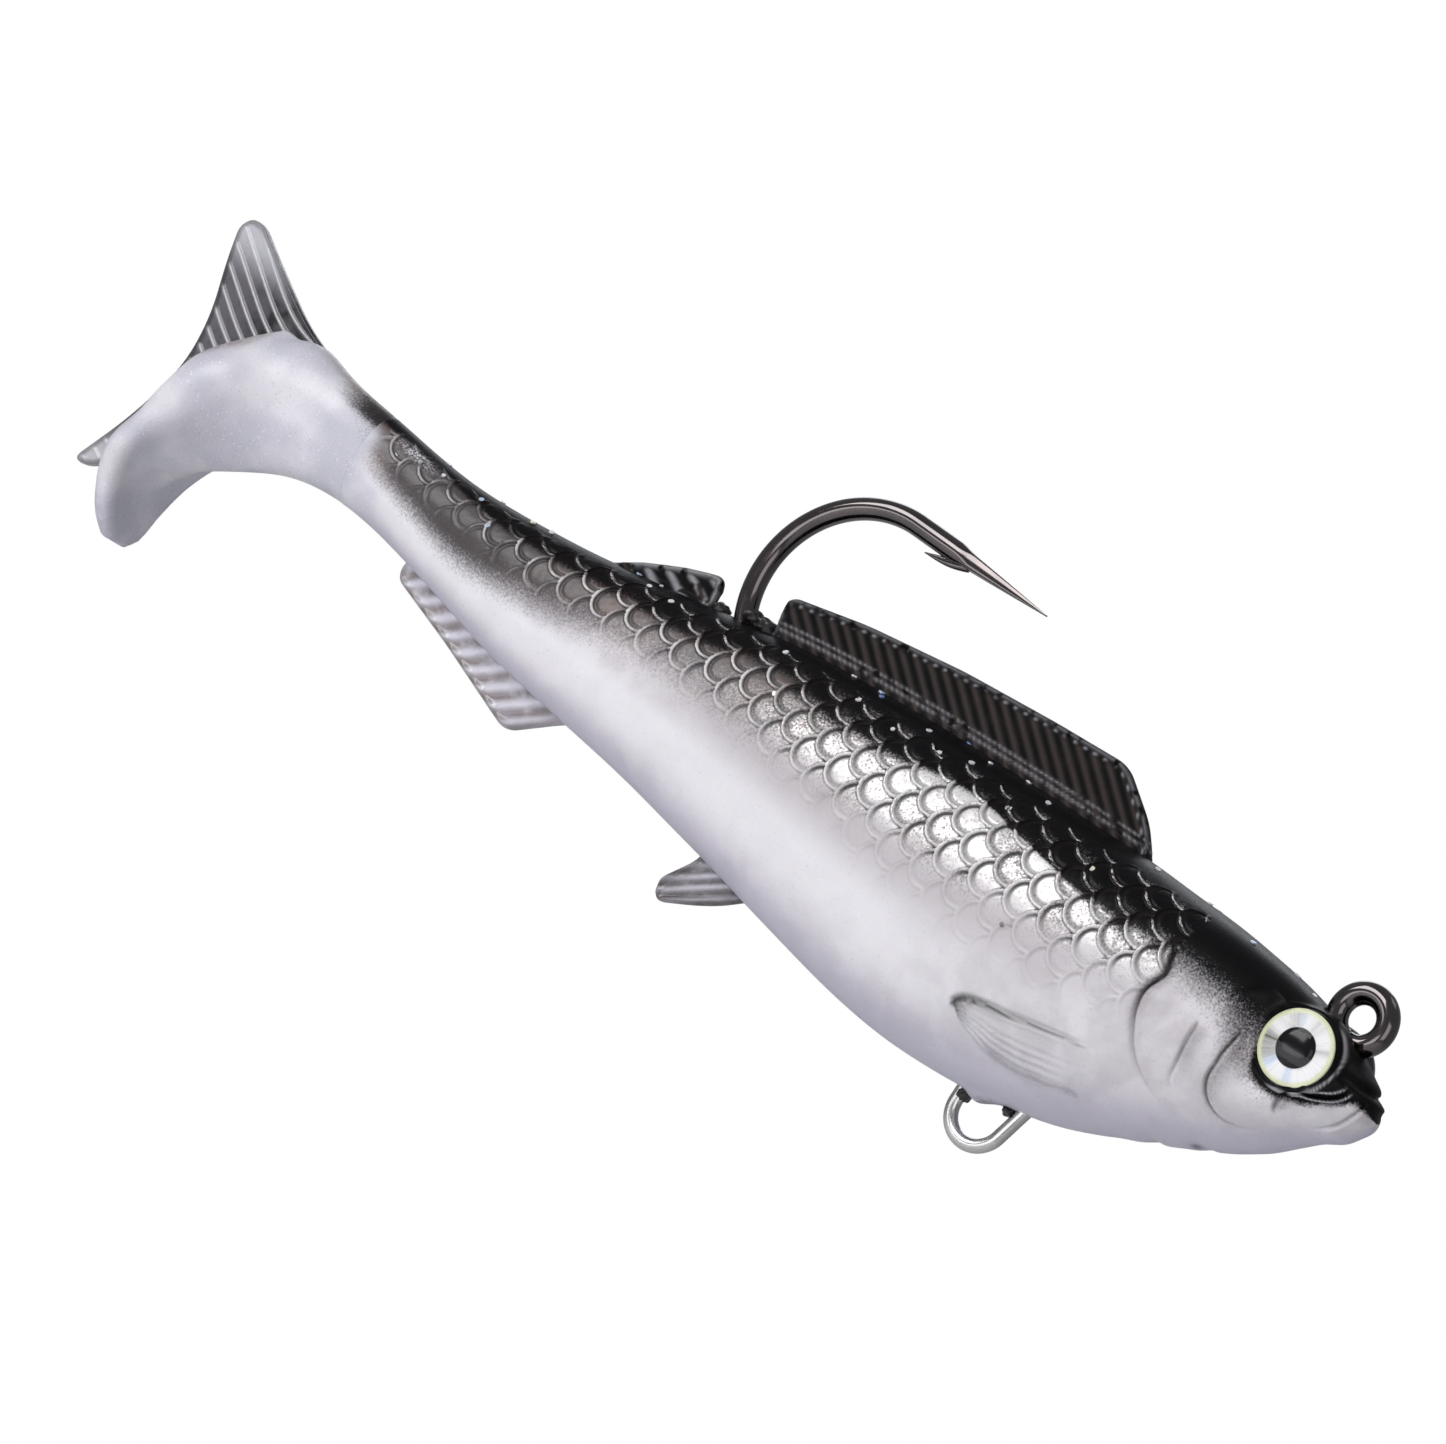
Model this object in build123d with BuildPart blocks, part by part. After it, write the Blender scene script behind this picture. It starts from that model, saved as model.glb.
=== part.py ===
"""A pre-rigged soft swimbait: a plastisol fish moulded round a weighted single hook.

The frame: the origin is the centre of the line-tie ring, +X runs to the head, +Y to the fish's left
and +Z to its back. Millimetres throughout.
"""

from build123d import *
import os
from math import copysign, cos, pi, radians, sin

os.makedirs("parts", exist_ok=True)

# Driving dimensions: the wires
HOOK_WIRE_R = 0.8
RING_R = 1.8  # line-tie ring, to the middle of its wire
RING_LAND_R = 1.05  # the hole, worn to a short flat land
SHANK_Z = -3.85
SHANK_FRONT_X = -4.6
RISE_START = (-0.7, -1.65)  # where the wire leaves the ring
BEND_X = -47.9
BEND_R = 7.98
POINT_DROP = 4.0  # degrees that the point runs downhill
POINT_ROOT = 4.0  # wire left round past the bend
POINT_LENGTH = 8.0
POINT_TIP_R = 0.07
BARB_WIDTH = 0.7
HANGER_WIRE_R = 0.5
HANGER_R = 2.1
HANGER_X = -19.4
HANGER_Z = -19.0
HANGER_LEAN = 15.5  # degrees that the front leg leans forward
HANGER_LEG = 6.0
CAST_IN_GAP = 0.02  # keeps the flesh off the faces of the wires

# Driving dimensions: the soft moulding
FIN_T = 1.0
PECTORAL_RELIEF = 0.55
PECTORAL_REACH = 10.0  # beyond the widest of the flank
SWEEP_X = -70.0  # where the body behind the hook starts to swing
SWEEP_KNUCKLE_R = 3.3
SWEEP_SWING = 2.2
KICK_X = -90.0  # where the tail swings on the wrist
KICK_KNUCKLE_R = 2.1
KICK_SWING = 1.8
KNUCKLE_GAP = 0.45
PADDLE_ROOT_X = -96.0
SECTION_POINTS = 16
WIDEST_AT = 0.56  # the widest level of a section, as a share of its height
FAR = 200.0

# Driving dimensions: the eyes
EYE_X = -1.1
EYE_Y = 4.0
EYE_Z = -3.9
EYE_TOE_OUT = 2.0  # degrees that each eye looks forward
EYE_R = 2.65
EYE_RIM = 0.45
FOIL_T = 0.3
PUPIL_R = 1.35
PUPIL_T = 0.25
DOME_HEIGHT = 1.1
SOCKET_GAP = 0.05
RING_RELIEF_R = 1.25  # flesh is kept clear of whatever is tied to the ring

# Body sections from nose to paddle root: x, top, bottom, half width, squareness of the upper half
BODY = [
    (4.6, -4.5, -6.2, 1.0, 2.0),
    (3.6, -3.4, -7.4, 2.2, 1.9),
    (1.9, -2.4, -8.5, 3.3, 2.1),
    (0.0, -1.4, -10.1, 4.2, 2.6),
    (-3.0, -0.4, -12.1, 5.2, 2.9),
    (-8.0, 0.5, -14.3, 6.5, 2.7),
    (-14.0, 1.05, -16.6, 7.4, 2.4),
    (-22.0, 1.35, -18.1, 7.8, 2.1),
    (-30.0, 1.4, -18.15, 7.5, 2.0),
    (-40.0, 1.3, -16.5, 6.6, 2.0),
    (-50.0, 0.75, -14.5, 5.6, 2.0),
    (-60.0, -0.55, -12.8, 4.6, 2.0),
    (-70.0, -1.6, -11.4, 3.7, 2.0),
    (-80.0, -1.85, -9.2, 2.9, 2.0),
    (-88.0, -0.9, -8.1, 2.4, 2.0),
    (-93.0, -0.1, -8.8, 2.4, 2.0),
    (-97.0, 0.3, -10.6, 3.1, 2.0),
    (-101.0, -3.2, -12.6, 3.4, 2.0),
]

# Paddle sections from top to bottom: z, middle x, half thickness, half width
PADDLE = [
    (0.4, -98.7, 0.7, 0.8),
    (-1.3, -99.3, 1.2, 2.0),
    (-5.0, -100.9, 1.3, 4.1),
    (-9.5, -102.2, 1.25, 6.0),
    (-13.0, -103.0, 1.15, 6.1),
    (-16.0, -103.0, 1.0, 4.7),
    (-18.6, -102.3, 0.9, 3.2),
    (-19.9, -102.0, 0.6, 1.4),
]

# Weight sections from front to rear: x, top, bottom, half width
WEIGHT = [
    (-4.5, -3.4, -8.5, 2.0),
    (-11.0, -2.3, -13.0, 4.2),
    (-20.0, -2.2, -14.8, 4.4),
    (-27.0, -2.6, -11.0, 3.0),
    (-31.0, -2.9, -5.8, 1.4),
]

# Fin outlines in the mid plane: the free edge, then the foot buried in the back or belly
DORSAL_FRONT_EDGE = [(-52.2, 0.0), (-52.8, 2.8), (-52.1, 3.4), (-46.5, 4.5), (-38.4, 5.4), (-27.0, 6.0)]
DORSAL_FRONT_LEAD = [(-27.0, 6.0), (-24.2, 5.6), (-22.5, 4.7), (-20.6, 3.0), (-19.2, 0.8)]
DORSAL_REAR_EDGE = [(-66.8, -1.6), (-64.3, -0.4), (-60.9, 1.0), (-58.4, 1.75), (-57.8, 1.5), (-57.3, -0.6)]
ANAL_EDGE = [(-79.9, -8.9), (-80.2, -10.0), (-79.6, -10.4), (-74.0, -12.2), (-66.4, -14.8), (-65.7, -14.75)]
ANAL_LEAD = [(-65.7, -14.75), (-64.0, -13.6), (-62.1, -12.3)]
PELVIC_EDGE = [(-47.7, -14.5), (-48.1, -16.1), (-49.1, -17.5), (-49.2, -18.2), (-48.1, -18.8)]
PELVIC_LEAD = [(-48.1, -18.8), (-46.0, -17.9), (-44.4, -17.0), (-42.8, -15.6)]
CAUDAL_LEAD = [(-92.5, -0.4), (-97.5, 1.0), (-102.4, 3.6), (-105.0, 5.0), (-106.5, 5.0), (-106.9, 3.9)]
CAUDAL_REAR = [(-106.9, 3.9), (-105.4, -1.9), (-105.0, -5.8), (-106.2, -10.6), (-108.3, -14.4)]
CAUDAL_TIP = [(-108.3, -14.4), (-108.4, -15.4), (-107.4, -15.8), (-105.6, -14.4), (-102.8, -11.0)]
PECTORAL_EDGE = [(-10.8, -11.3), (-16.0, -12.0), (-21.3, -13.2), (-21.9, -13.8), (-20.5, -14.6)]
PECTORAL_FOOT = [(-20.5, -14.6), (-16.5, -15.2), (-12.6, -14.4), (-10.8, -11.3)]


def power(value, exponent):
    """Raise a signed value to a power and keep its sign."""
    return copysign(abs(value) ** exponent, value)


def body_outline(top, bottom, half, square, grow):
    """Points round one body section: full above its widest level, elliptical below it."""
    widest = bottom + WIDEST_AT * (top - bottom)
    points = []
    for step in range(SECTION_POINTS):
        turn = 2 * pi * step / SECTION_POINTS
        exponent = 2 / square if sin(turn) > 0 else 1.0
        reach = (top - widest if sin(turn) > 0 else widest - bottom) + grow
        across = (half + grow) * power(cos(turn), exponent)
        points.append((across, widest + reach * power(sin(turn), exponent)))
    return points


def body_loft(grow=0.0):
    """The whole fish without fins, or one that is larger all round by grow."""
    with BuildPart() as fish:
        for x, top, bottom, half, square in BODY:
            with BuildSketch(Plane(origin=(x, 0, 0), x_dir=(0, 1, 0), z_dir=(1, 0, 0))):
                with BuildLine():
                    Spline(*body_outline(top, bottom, half, square, grow), periodic=True)
                make_face()
        loft()
    return fish.part


def slab(low_x, high_x):
    """Everything between two stations along the fish."""
    with BuildPart() as block:
        with Locations(((low_x + high_x) / 2, 0, 0)):
            Box(high_x - low_x, FAR, FAR)
    return block.part


def upright(x, radius):
    """A tall cylinder about a flexing axis."""
    with BuildPart() as post:
        with Locations((x, 0, 0)):
            Cylinder(radius, FAR)
    return post.part


def fin_plate(*edges):
    """A flat fin in the mid plane, closed by a straight foot."""
    with BuildPart() as fin:
        with BuildSketch(Plane.XZ):
            with BuildLine():
                for edge in edges:
                    Spline(*edge)
                Line(edges[-1][-1], edges[0][0])
            make_face()
        extrude(amount=FIN_T / 2, both=True)
    return fin.part


FISH = body_loft()


# The hook: ring, shank, bend, barb and point in one length of wire
with BuildLine(Plane.XZ) as wire_path:
    rise = Line(RISE_START, (SHANK_FRONT_X, SHANK_Z))
    shank = Line((SHANK_FRONT_X, SHANK_Z), (BEND_X, SHANK_Z))
    bend = CenterArc((BEND_X, SHANK_Z + BEND_R), BEND_R, 270, -180 - POINT_DROP)
    run = Line(bend @ 1, (bend @ 1) + (bend % 1) * POINT_ROOT)


def bent_wire(radius):
    """The ring and the wire as far as the point, at a given wire radius."""
    with BuildPart() as wire:
        with BuildSketch(Plane(origin=rise @ 0, z_dir=rise % 0)):
            Circle(radius)
        sweep(path=wire_path.wire(), transition=Transition.ROUND)
        with Locations(Plane.XZ):
            Torus(RING_R, radius)
    return wire.part


with BuildPart() as hook:
    add(bent_wire(HOOK_WIRE_R))
    with BuildSketch(Plane(origin=run @ 1, z_dir=run % 1)):
        Circle(HOOK_WIRE_R)
    with BuildSketch(Plane(origin=(run @ 1) + (run % 1) * POINT_LENGTH, z_dir=run % 1)):
        Circle(POINT_TIP_R)
    loft()
    barb_root = run @ 1
    with BuildSketch(Plane.XZ):
        with BuildLine():
            Polyline(
                (barb_root.X + 1.0, barb_root.Z - 0.3),
                (barb_root.X - 2.0, barb_root.Z - 1.75),
                (barb_root.X - 1.0, barb_root.Z - 0.5),
                close=True,
            )
        make_face()
    extrude(amount=BARB_WIDTH / 2, both=True)
    with Locations(Plane.XZ):
        Cylinder(RING_LAND_R, 4 * HOOK_WIRE_R, mode=Mode.SUBTRACT)
hook.part.label = "hook"

# The treble hanger: a loop of stainless wire with both legs cast into the weight
with BuildLine(Plane.XZ) as hanger_path:
    rear_leg = Line((HANGER_X - HANGER_R, HANGER_Z + HANGER_LEG), (HANGER_X - HANGER_R, HANGER_Z))
    loop = CenterArc((HANGER_X, HANGER_Z), HANGER_R, 180, 180 - HANGER_LEAN)
    Line(loop @ 1, (loop @ 1) + (loop % 1) * HANGER_LEG)


def hanger_wire(radius):
    """The hanger at a given wire radius."""
    with BuildPart() as wire:
        with BuildSketch(Plane(origin=rear_leg @ 0, z_dir=rear_leg % 0)):
            Circle(radius)
        sweep(path=hanger_path.wire())
    return wire.part


with BuildPart() as belly_hanger:
    add(hanger_wire(HANGER_WIRE_R))
belly_hanger.part.label = "belly_hanger"

# The lead casting, which carries the shank and both legs of the hanger
with BuildPart() as casting:
    for x, top, bottom, half in WEIGHT:
        with BuildSketch(Plane(origin=(x, 0, (top + bottom) / 2), x_dir=(0, 1, 0), z_dir=(1, 0, 0))):
            Ellipse(half, (top - bottom) / 2)
    loft()

with BuildPart() as jig_weight:
    add(casting.part)
    add(hook.part, mode=Mode.SUBTRACT)
    add(belly_hanger.part, mode=Mode.SUBTRACT)
jig_weight.part.label = "jig_weight"

# All that the flesh is moulded round
with BuildPart() as rigging:
    add(casting.part)
    add(bent_wire(HOOK_WIRE_R + CAST_IN_GAP))
    add(hanger_wire(HANGER_WIRE_R + CAST_IN_GAP))

# The eyes: a foil disc and a pupil under a clear dome, in a rimmed socket on each side
eye_sockets = []
eye_rims = []
for side, hand in ((1, "left"), (-1, "right")):
    toe_out = radians(EYE_TOE_OUT)
    face = Plane(
        origin=(EYE_X, side * EYE_Y, EYE_Z),
        x_dir=(0, 0, 1),
        z_dir=(sin(toe_out), side * cos(toe_out), 0),
    )
    with BuildPart() as eye_foil:
        with BuildSketch(face.offset(-FOIL_T)):
            Circle(EYE_R)
        extrude(amount=FOIL_T)
    with BuildPart() as eye_pupil:
        with BuildSketch(face):
            Circle(PUPIL_R)
        extrude(amount=PUPIL_T)
    dome_sphere_r = (EYE_R**2 + DOME_HEIGHT**2) / (2 * DOME_HEIGHT)
    with BuildPart() as eye_dome:
        with Locations(face.offset(DOME_HEIGHT - dome_sphere_r)):
            Sphere(dome_sphere_r)
        with BuildSketch(face):
            Circle(dome_sphere_r)
        extrude(amount=DOME_HEIGHT, mode=Mode.INTERSECT)
        add(eye_pupil.part, mode=Mode.SUBTRACT)
    for piece, name in ((eye_foil, "foil"), (eye_pupil, "pupil"), (eye_dome, "dome")):
        piece.part.label = f"eye_{name}_{hand}"
        export_step(piece.part, f"parts/eye_{name}_{hand}.step")
    with BuildPart() as socket:
        with BuildSketch(face.offset(-FOIL_T)):
            Circle(EYE_R + SOCKET_GAP)
        extrude(amount=EYE_Y)
    with BuildPart() as rim:
        with BuildSketch(face.offset(-EYE_Y / 2)):
            Circle(EYE_R + EYE_RIM)
        extrude(amount=EYE_Y / 2 + FOIL_T)
    eye_sockets.append(socket.part)
    eye_rims.append(rim.part)

# The front of the moulding, from the nose to the first flexing axis
with BuildPart() as body_front:
    add(FISH)
    add(slab(SWEEP_X + SWEEP_SWING, FAR), mode=Mode.INTERSECT)
    add(upright(SWEEP_X, SWEEP_KNUCKLE_R + KNUCKLE_GAP), mode=Mode.SUBTRACT)
    for eye_rim in eye_rims:
        add(eye_rim)
    for eye_socket in eye_sockets:
        add(eye_socket, mode=Mode.SUBTRACT)
    with Locations(Plane.XZ):
        Cylinder(RING_RELIEF_R, FAR, mode=Mode.SUBTRACT)
    add(rigging.part, mode=Mode.SUBTRACT)
body_front.part.label = "body_front"

# The body behind the hook, with a knuckle at its front and a cup for the tail's knuckle
with BuildPart() as body_rear:
    add(slab(KICK_X + KICK_SWING, SWEEP_X))
    add(upright(SWEEP_X, SWEEP_KNUCKLE_R))
    add(upright(KICK_X, KICK_KNUCKLE_R + KNUCKLE_GAP), mode=Mode.SUBTRACT)
    add(FISH, mode=Mode.INTERSECT)
body_rear.part.label = "body_rear"

# The wrist of the tail
with BuildPart() as tail_stalk:
    add(slab(PADDLE_ROOT_X, KICK_X))
    add(upright(KICK_X, KICK_KNUCKLE_R))
    add(FISH, mode=Mode.INTERSECT)
tail_stalk.part.label = "tail_stalk"

# The spoon-shaped paddle across the tail, grown out of the end of the wrist
with BuildPart() as paddle_root:
    add(FISH)
    add(slab(-FAR, PADDLE_ROOT_X), mode=Mode.INTERSECT)

with BuildPart() as tail_paddle:
    for z, middle_x, half_thickness, half_width in PADDLE:
        with BuildSketch(Plane(origin=(middle_x, 0, z), x_dir=(1, 0, 0), z_dir=(0, 0, 1))):
            Ellipse(half_thickness, half_width)
    loft()
    add(paddle_root.part)
tail_paddle.part.label = "tail_paddle"

# The fins in the mid plane
with BuildPart() as caudal_fin:
    add(fin_plate(CAUDAL_LEAD, CAUDAL_REAR, CAUDAL_TIP))
    add(tail_paddle.part, mode=Mode.SUBTRACT)
    add(FISH, mode=Mode.SUBTRACT)
caudal_fin.part.label = "caudal_fin"

with BuildPart() as dorsal_fin_front:
    add(fin_plate(DORSAL_FRONT_EDGE, DORSAL_FRONT_LEAD))
    add(FISH, mode=Mode.SUBTRACT)
dorsal_fin_front.part.label = "dorsal_fin_front"

with BuildPart() as dorsal_fin_rear:
    add(fin_plate(DORSAL_REAR_EDGE))
    add(FISH, mode=Mode.SUBTRACT)
dorsal_fin_rear.part.label = "dorsal_fin_rear"

with BuildPart() as pelvic_fin:
    add(fin_plate(PELVIC_EDGE, PELVIC_LEAD))
    add(FISH, mode=Mode.SUBTRACT)
pelvic_fin.part.label = "pelvic_fin"

# The anal fin swings with the rear body, so its front end stays clear of the front body
with BuildPart() as clearance:
    add(body_loft(KNUCKLE_GAP))
    add(slab(SWEEP_X - KNUCKLE_GAP, 0), mode=Mode.INTERSECT)

with BuildPart() as anal_fin:
    add(fin_plate(ANAL_EDGE, ANAL_LEAD))
    add(FISH, mode=Mode.SUBTRACT)
    add(clearance.part, mode=Mode.SUBTRACT)
anal_fin.part.label = "anal_fin"

# The pectoral fins stand off the flanks in low relief
RAISED_FISH = body_loft(PECTORAL_RELIEF)
for side, hand in ((1, "left"), (-1, "right")):
    with BuildPart() as pectoral_fin:
        with BuildSketch(Plane.XZ):
            with BuildLine():
                Spline(*PECTORAL_EDGE)
                Spline(*PECTORAL_FOOT)
            make_face()
        extrude(amount=-side * PECTORAL_REACH)
        add(RAISED_FISH, mode=Mode.INTERSECT)
        add(FISH, mode=Mode.SUBTRACT)
    pectoral_fin.part.label = f"pectoral_fin_{hand}"
    export_step(pectoral_fin.part, f"parts/pectoral_fin_{hand}.step")

PIECES = (
    hook,
    belly_hanger,
    jig_weight,
    body_front,
    body_rear,
    tail_stalk,
    tail_paddle,
    caudal_fin,
    dorsal_fin_front,
    dorsal_fin_rear,
    pelvic_fin,
    anal_fin,
)
for piece in PIECES:
    export_step(piece.part, f"parts/{piece.part.label}.step")
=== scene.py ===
"""The looks of the swimbait: painted soft flesh with moulded scales, clear fins, wire and foil eyes.

Shapes are worked out in millimetres in the row frame (+X to the head, +Y left, +Z up) and put into
meshes in metres.
"""

import math

import bmesh
import bpy
import numpy as np
from mathutils import Matrix, Vector


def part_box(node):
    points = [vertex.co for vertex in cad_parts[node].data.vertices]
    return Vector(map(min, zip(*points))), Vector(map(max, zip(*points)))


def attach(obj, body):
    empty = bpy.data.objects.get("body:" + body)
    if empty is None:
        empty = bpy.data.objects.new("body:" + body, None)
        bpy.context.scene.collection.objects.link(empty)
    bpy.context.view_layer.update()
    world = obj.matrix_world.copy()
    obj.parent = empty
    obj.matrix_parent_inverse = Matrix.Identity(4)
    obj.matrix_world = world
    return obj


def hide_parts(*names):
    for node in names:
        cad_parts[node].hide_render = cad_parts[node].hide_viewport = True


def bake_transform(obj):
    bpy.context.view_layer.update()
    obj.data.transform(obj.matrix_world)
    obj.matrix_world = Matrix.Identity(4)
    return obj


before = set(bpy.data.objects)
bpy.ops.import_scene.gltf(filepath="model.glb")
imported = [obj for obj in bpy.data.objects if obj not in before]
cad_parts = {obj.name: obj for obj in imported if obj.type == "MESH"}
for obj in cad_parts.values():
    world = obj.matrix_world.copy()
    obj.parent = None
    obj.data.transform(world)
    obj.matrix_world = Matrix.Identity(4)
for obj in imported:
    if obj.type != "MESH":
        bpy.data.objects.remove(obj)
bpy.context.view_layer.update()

MM = 0.001
RNG = np.random.default_rng(8)

SKIN_END_X = -87.3  # the painted skin ends where the clear tail shows

# The body from nose to wrist, as the CAD has it: x, top, bottom, half width, squareness of the upper half
STATIONS = [
    (4.8, -3.5, -7.9, 2.9, 2.0),
    (3.0, -2.5, -8.1, 3.1, 2.0),
    (2.0, -2.15, -8.5, 3.4, 2.1),
    (0.0, -1.4, -10.1, 4.2, 2.5),
    (-3.0, -0.4, -12.1, 5.2, 2.7),
    (-8.0, 0.5, -14.3, 6.5, 2.6),
    (-14.0, 1.05, -16.6, 7.4, 2.3),
    (-22.0, 1.35, -18.1, 7.8, 2.1),
    (-30.0, 1.4, -18.15, 7.5, 2.0),
    (-40.0, 1.3, -16.5, 6.6, 2.0),
    (-50.0, 0.75, -14.5, 5.6, 2.0),
    (-60.0, -0.55, -12.8, 4.6, 2.0),
    (-70.0, -1.6, -11.4, 3.7, 2.0),
    (-80.0, -1.85, -9.2, 2.9, 2.0),
    (-88.0, -0.9, -8.1, 2.4, 2.0),
    (-93.0, -0.1, -8.8, 2.4, 2.0),
    (-97.0, 0.3, -10.6, 3.1, 2.0),
    (-101.0, -3.2, -12.6, 3.4, 2.0),
]
WIDEST_AT = 0.56
NOSE_TIP_X, NOSE_ROUND_X, NOSE_Z = 4.75, 1.0, -5.2  # the snout closes to a point that is rounded off
ARC_SAMPLES = 241


# ---------------------------------------------------------------- curves and small sums


def cubic(places, values):
    """A natural cubic spline through values at rising places, as a function."""
    places, values = np.asarray(places, float), np.asarray(values, float)
    gaps = np.diff(places)
    count = len(places)
    rows, right = np.eye(count), np.zeros(count)
    for i in range(1, count - 1):
        rows[i, i - 1 : i + 2] = gaps[i - 1], 2 * (gaps[i - 1] + gaps[i]), gaps[i]
        right[i] = 6 * ((values[i + 1] - values[i]) / gaps[i] - (values[i] - values[i - 1]) / gaps[i - 1])
    bends = np.linalg.solve(rows, right)

    def curve(x):
        x = np.asarray(x, float)
        i = np.clip(np.searchsorted(places, x) - 1, 0, count - 2)
        t, gap = x - places[i], gaps[i]
        slope = (values[i + 1] - values[i]) / gap - gap * (2 * bends[i] + bends[i + 1]) / 6
        return values[i] + t * (slope + t * (bends[i] / 2 + t * (bends[i + 1] - bends[i]) / (6 * gap)))

    return curve


def run_along(line):
    """Distance from a line's start to each of its points."""
    return np.concatenate([[0], np.cumsum(np.linalg.norm(np.diff(line, axis=0), axis=1))])


def evenly(line, count):
    """Evenly spaced points along a line."""
    run = run_along(line)
    return np.stack([np.interp(np.linspace(0, run[-1], count), run, column) for column in line.T], 1)


def through(spots, count=160):
    """A smooth line through spots, as evenly spaced points."""
    spots = np.asarray(spots, float)
    reach = run_along(spots)
    fine = np.linspace(0, reach[-1], 8 * count)
    return evenly(np.stack([cubic(reach, column)(fine) for column in spots.T], 1), count)


def circle(count):
    return np.linspace(0, 2 * math.pi, count, endpoint=False)


def step(low, high, value):
    """0 below low, 1 above high and smooth between; low may be the larger."""
    t = np.clip((value - low) / (high - low), 0, 1)
    return t * t * (3 - 2 * t)


def hump(value, width):
    """1 at zero, falling off like a bell."""
    return np.exp(-((value / width) ** 2))


def unit(vectors):
    return vectors / (np.linalg.norm(vectors, axis=-1, keepdims=True) + 1e-12)


def waves(points, size, seed):
    """Smooth irregular swell of about that size, between about -1 and 1."""
    random = np.random.default_rng(seed)
    total = np.zeros(points.shape[:-1])
    for _ in range(9):
        turn = unit(random.normal(size=3)) * 2 * math.pi / (size * random.uniform(0.8, 1.6))
        total += np.sin(points @ turn + random.uniform(0, 6.28))
    return total / 5


def distance_to(points, line, margin=4.0):
    """Signed distance from each point to a line, and the share along it.

    The distance is positive on the line's left in the XZ plane.
    """
    flat = points.reshape(-1, 3)
    distance, share = np.full(len(flat), 99.0), np.zeros(len(flat))
    low, high = line.min(0) - margin, line.max(0) + margin
    near = np.nonzero(np.all((flat > low) & (flat < high), axis=1))[0]
    tangent = np.gradient(line, axis=0)
    for part in np.array_split(near, max(1, len(near) // 20000)):
        apart = flat[part][:, None, :] - line[None]
        gap = np.linalg.norm(apart, axis=2)
        best = gap.argmin(1)
        off = apart[np.arange(len(part)), best]
        side = tangent[best][:, 0] * off[:, 2] - tangent[best][:, 2] * off[:, 0]
        distance[part] = gap.min(1) * np.where(side >= 0, 1, -1)
        share[part] = best / (len(line) - 1)
    return distance.reshape(points.shape[:-1]), share.reshape(points.shape[:-1])


# ---------------------------------------------------------------- the body's form

STATION_X, *SECTIONS = np.array(STATIONS[::-1]).T
TOP, BOTTOM, HALF, SQUARE = [cubic(STATION_X, column) for column in SECTIONS]


def half_section(x):
    """Half outlines at stations x, from the back round to the belly: y, z and length along the arc."""
    turn = np.linspace(math.pi / 2, -math.pi / 2, ARC_SAMPLES)[None]
    top, bottom, half, square = [curve(x)[:, None] for curve in (TOP, BOTTOM, HALF, SQUARE)]
    widest = bottom + WIDEST_AT * (top - bottom)
    power = np.where(turn > 0, 2 / square, 1.0)
    y = half * np.abs(np.cos(turn)) ** power
    reach = np.where(turn > 0, top - widest, widest - bottom)
    z = widest + reach * np.sign(np.sin(turn)) * np.abs(np.sin(turn)) ** power
    closing = np.clip((x - NOSE_ROUND_X) / (NOSE_TIP_X - NOSE_ROUND_X), 0, 1)[:, None]
    shrink = np.sqrt(1 - closing**2)
    y, z = y * shrink, NOSE_Z + (z - NOSE_Z) * shrink
    run = np.cumsum(np.hypot(np.diff(y, axis=1), np.diff(z, axis=1)), axis=1)
    return y, z, np.concatenate([np.zeros((len(x), 1)), run], axis=1)


def half_skin(x, girth):
    """Points on the left half of the body, their distance from the back's ridge, and each half girth."""
    y, z, run = half_section(x)
    points = np.empty((len(x), len(girth), 3))
    points[:, :, 0] = x[:, None]
    for i in range(len(x)):
        points[i, :, 1:] = np.stack([np.interp(girth * run[i, -1], run[i], half[i]) for half in (y, z)], 1)
    points[:, 0, 1] = points[:, -1, 1] = 0
    return points, girth[None] * run[:, -1:], run[:, -1]


def half_normals(points):
    """Outward normals of a half skin whose edges lie on the mirror plane."""
    whole = np.concatenate([points[:, 1:2] * (1, -1, 1), points, points[:, -2:-1] * (1, -1, 1)], axis=1)
    along, around = np.gradient(whole, axis=0), np.gradient(whole, axis=1)
    return unit(np.cross(around, along))[:, 1:-1]


# ---------------------------------------------------------------- meshes and materials


def make_mesh(name, points, faces, smooth=True):
    """A closed mesh object from points in millimetres, with all its faces looking outwards.

    It keeps its vertices' places at rest, so that patterns bend with the flesh.
    """
    mesh = bpy.data.meshes.new(name)
    mesh.from_pydata((np.asarray(points) * MM).tolist(), [], faces)
    mesh.validate()
    work = bmesh.new()
    work.from_mesh(mesh)
    bmesh.ops.recalc_face_normals(work, faces=work.faces)
    work.to_mesh(mesh)
    work.free()
    mesh.polygons.foreach_set("use_smooth", [smooth] * len(mesh.polygons))
    thing = bpy.data.objects.new(name, mesh)
    bpy.context.collection.objects.link(thing)
    places = np.empty(3 * len(mesh.vertices), np.float32)
    mesh.vertices.foreach_get("co", places)
    mesh.attributes.new("rest", "FLOAT_VECTOR", "POINT").data.foreach_set("vector", places)
    return thing


def store(thing, name, *channels):
    """Stores up to three masks on the vertices as one vector attribute."""
    values = np.zeros((len(thing.data.vertices), 3), np.float32)
    for k, channel in enumerate(channels):
        values[:, k] = np.asarray(channel).ravel()
    thing.data.attributes.new(name, "FLOAT_VECTOR", "POINT").data.foreach_set("vector", values.ravel())


def quads(*corners):
    """Four-sided faces from matching arrays of corner numbers."""
    return np.stack(corners, -1).reshape(-1, 4).tolist()


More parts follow.
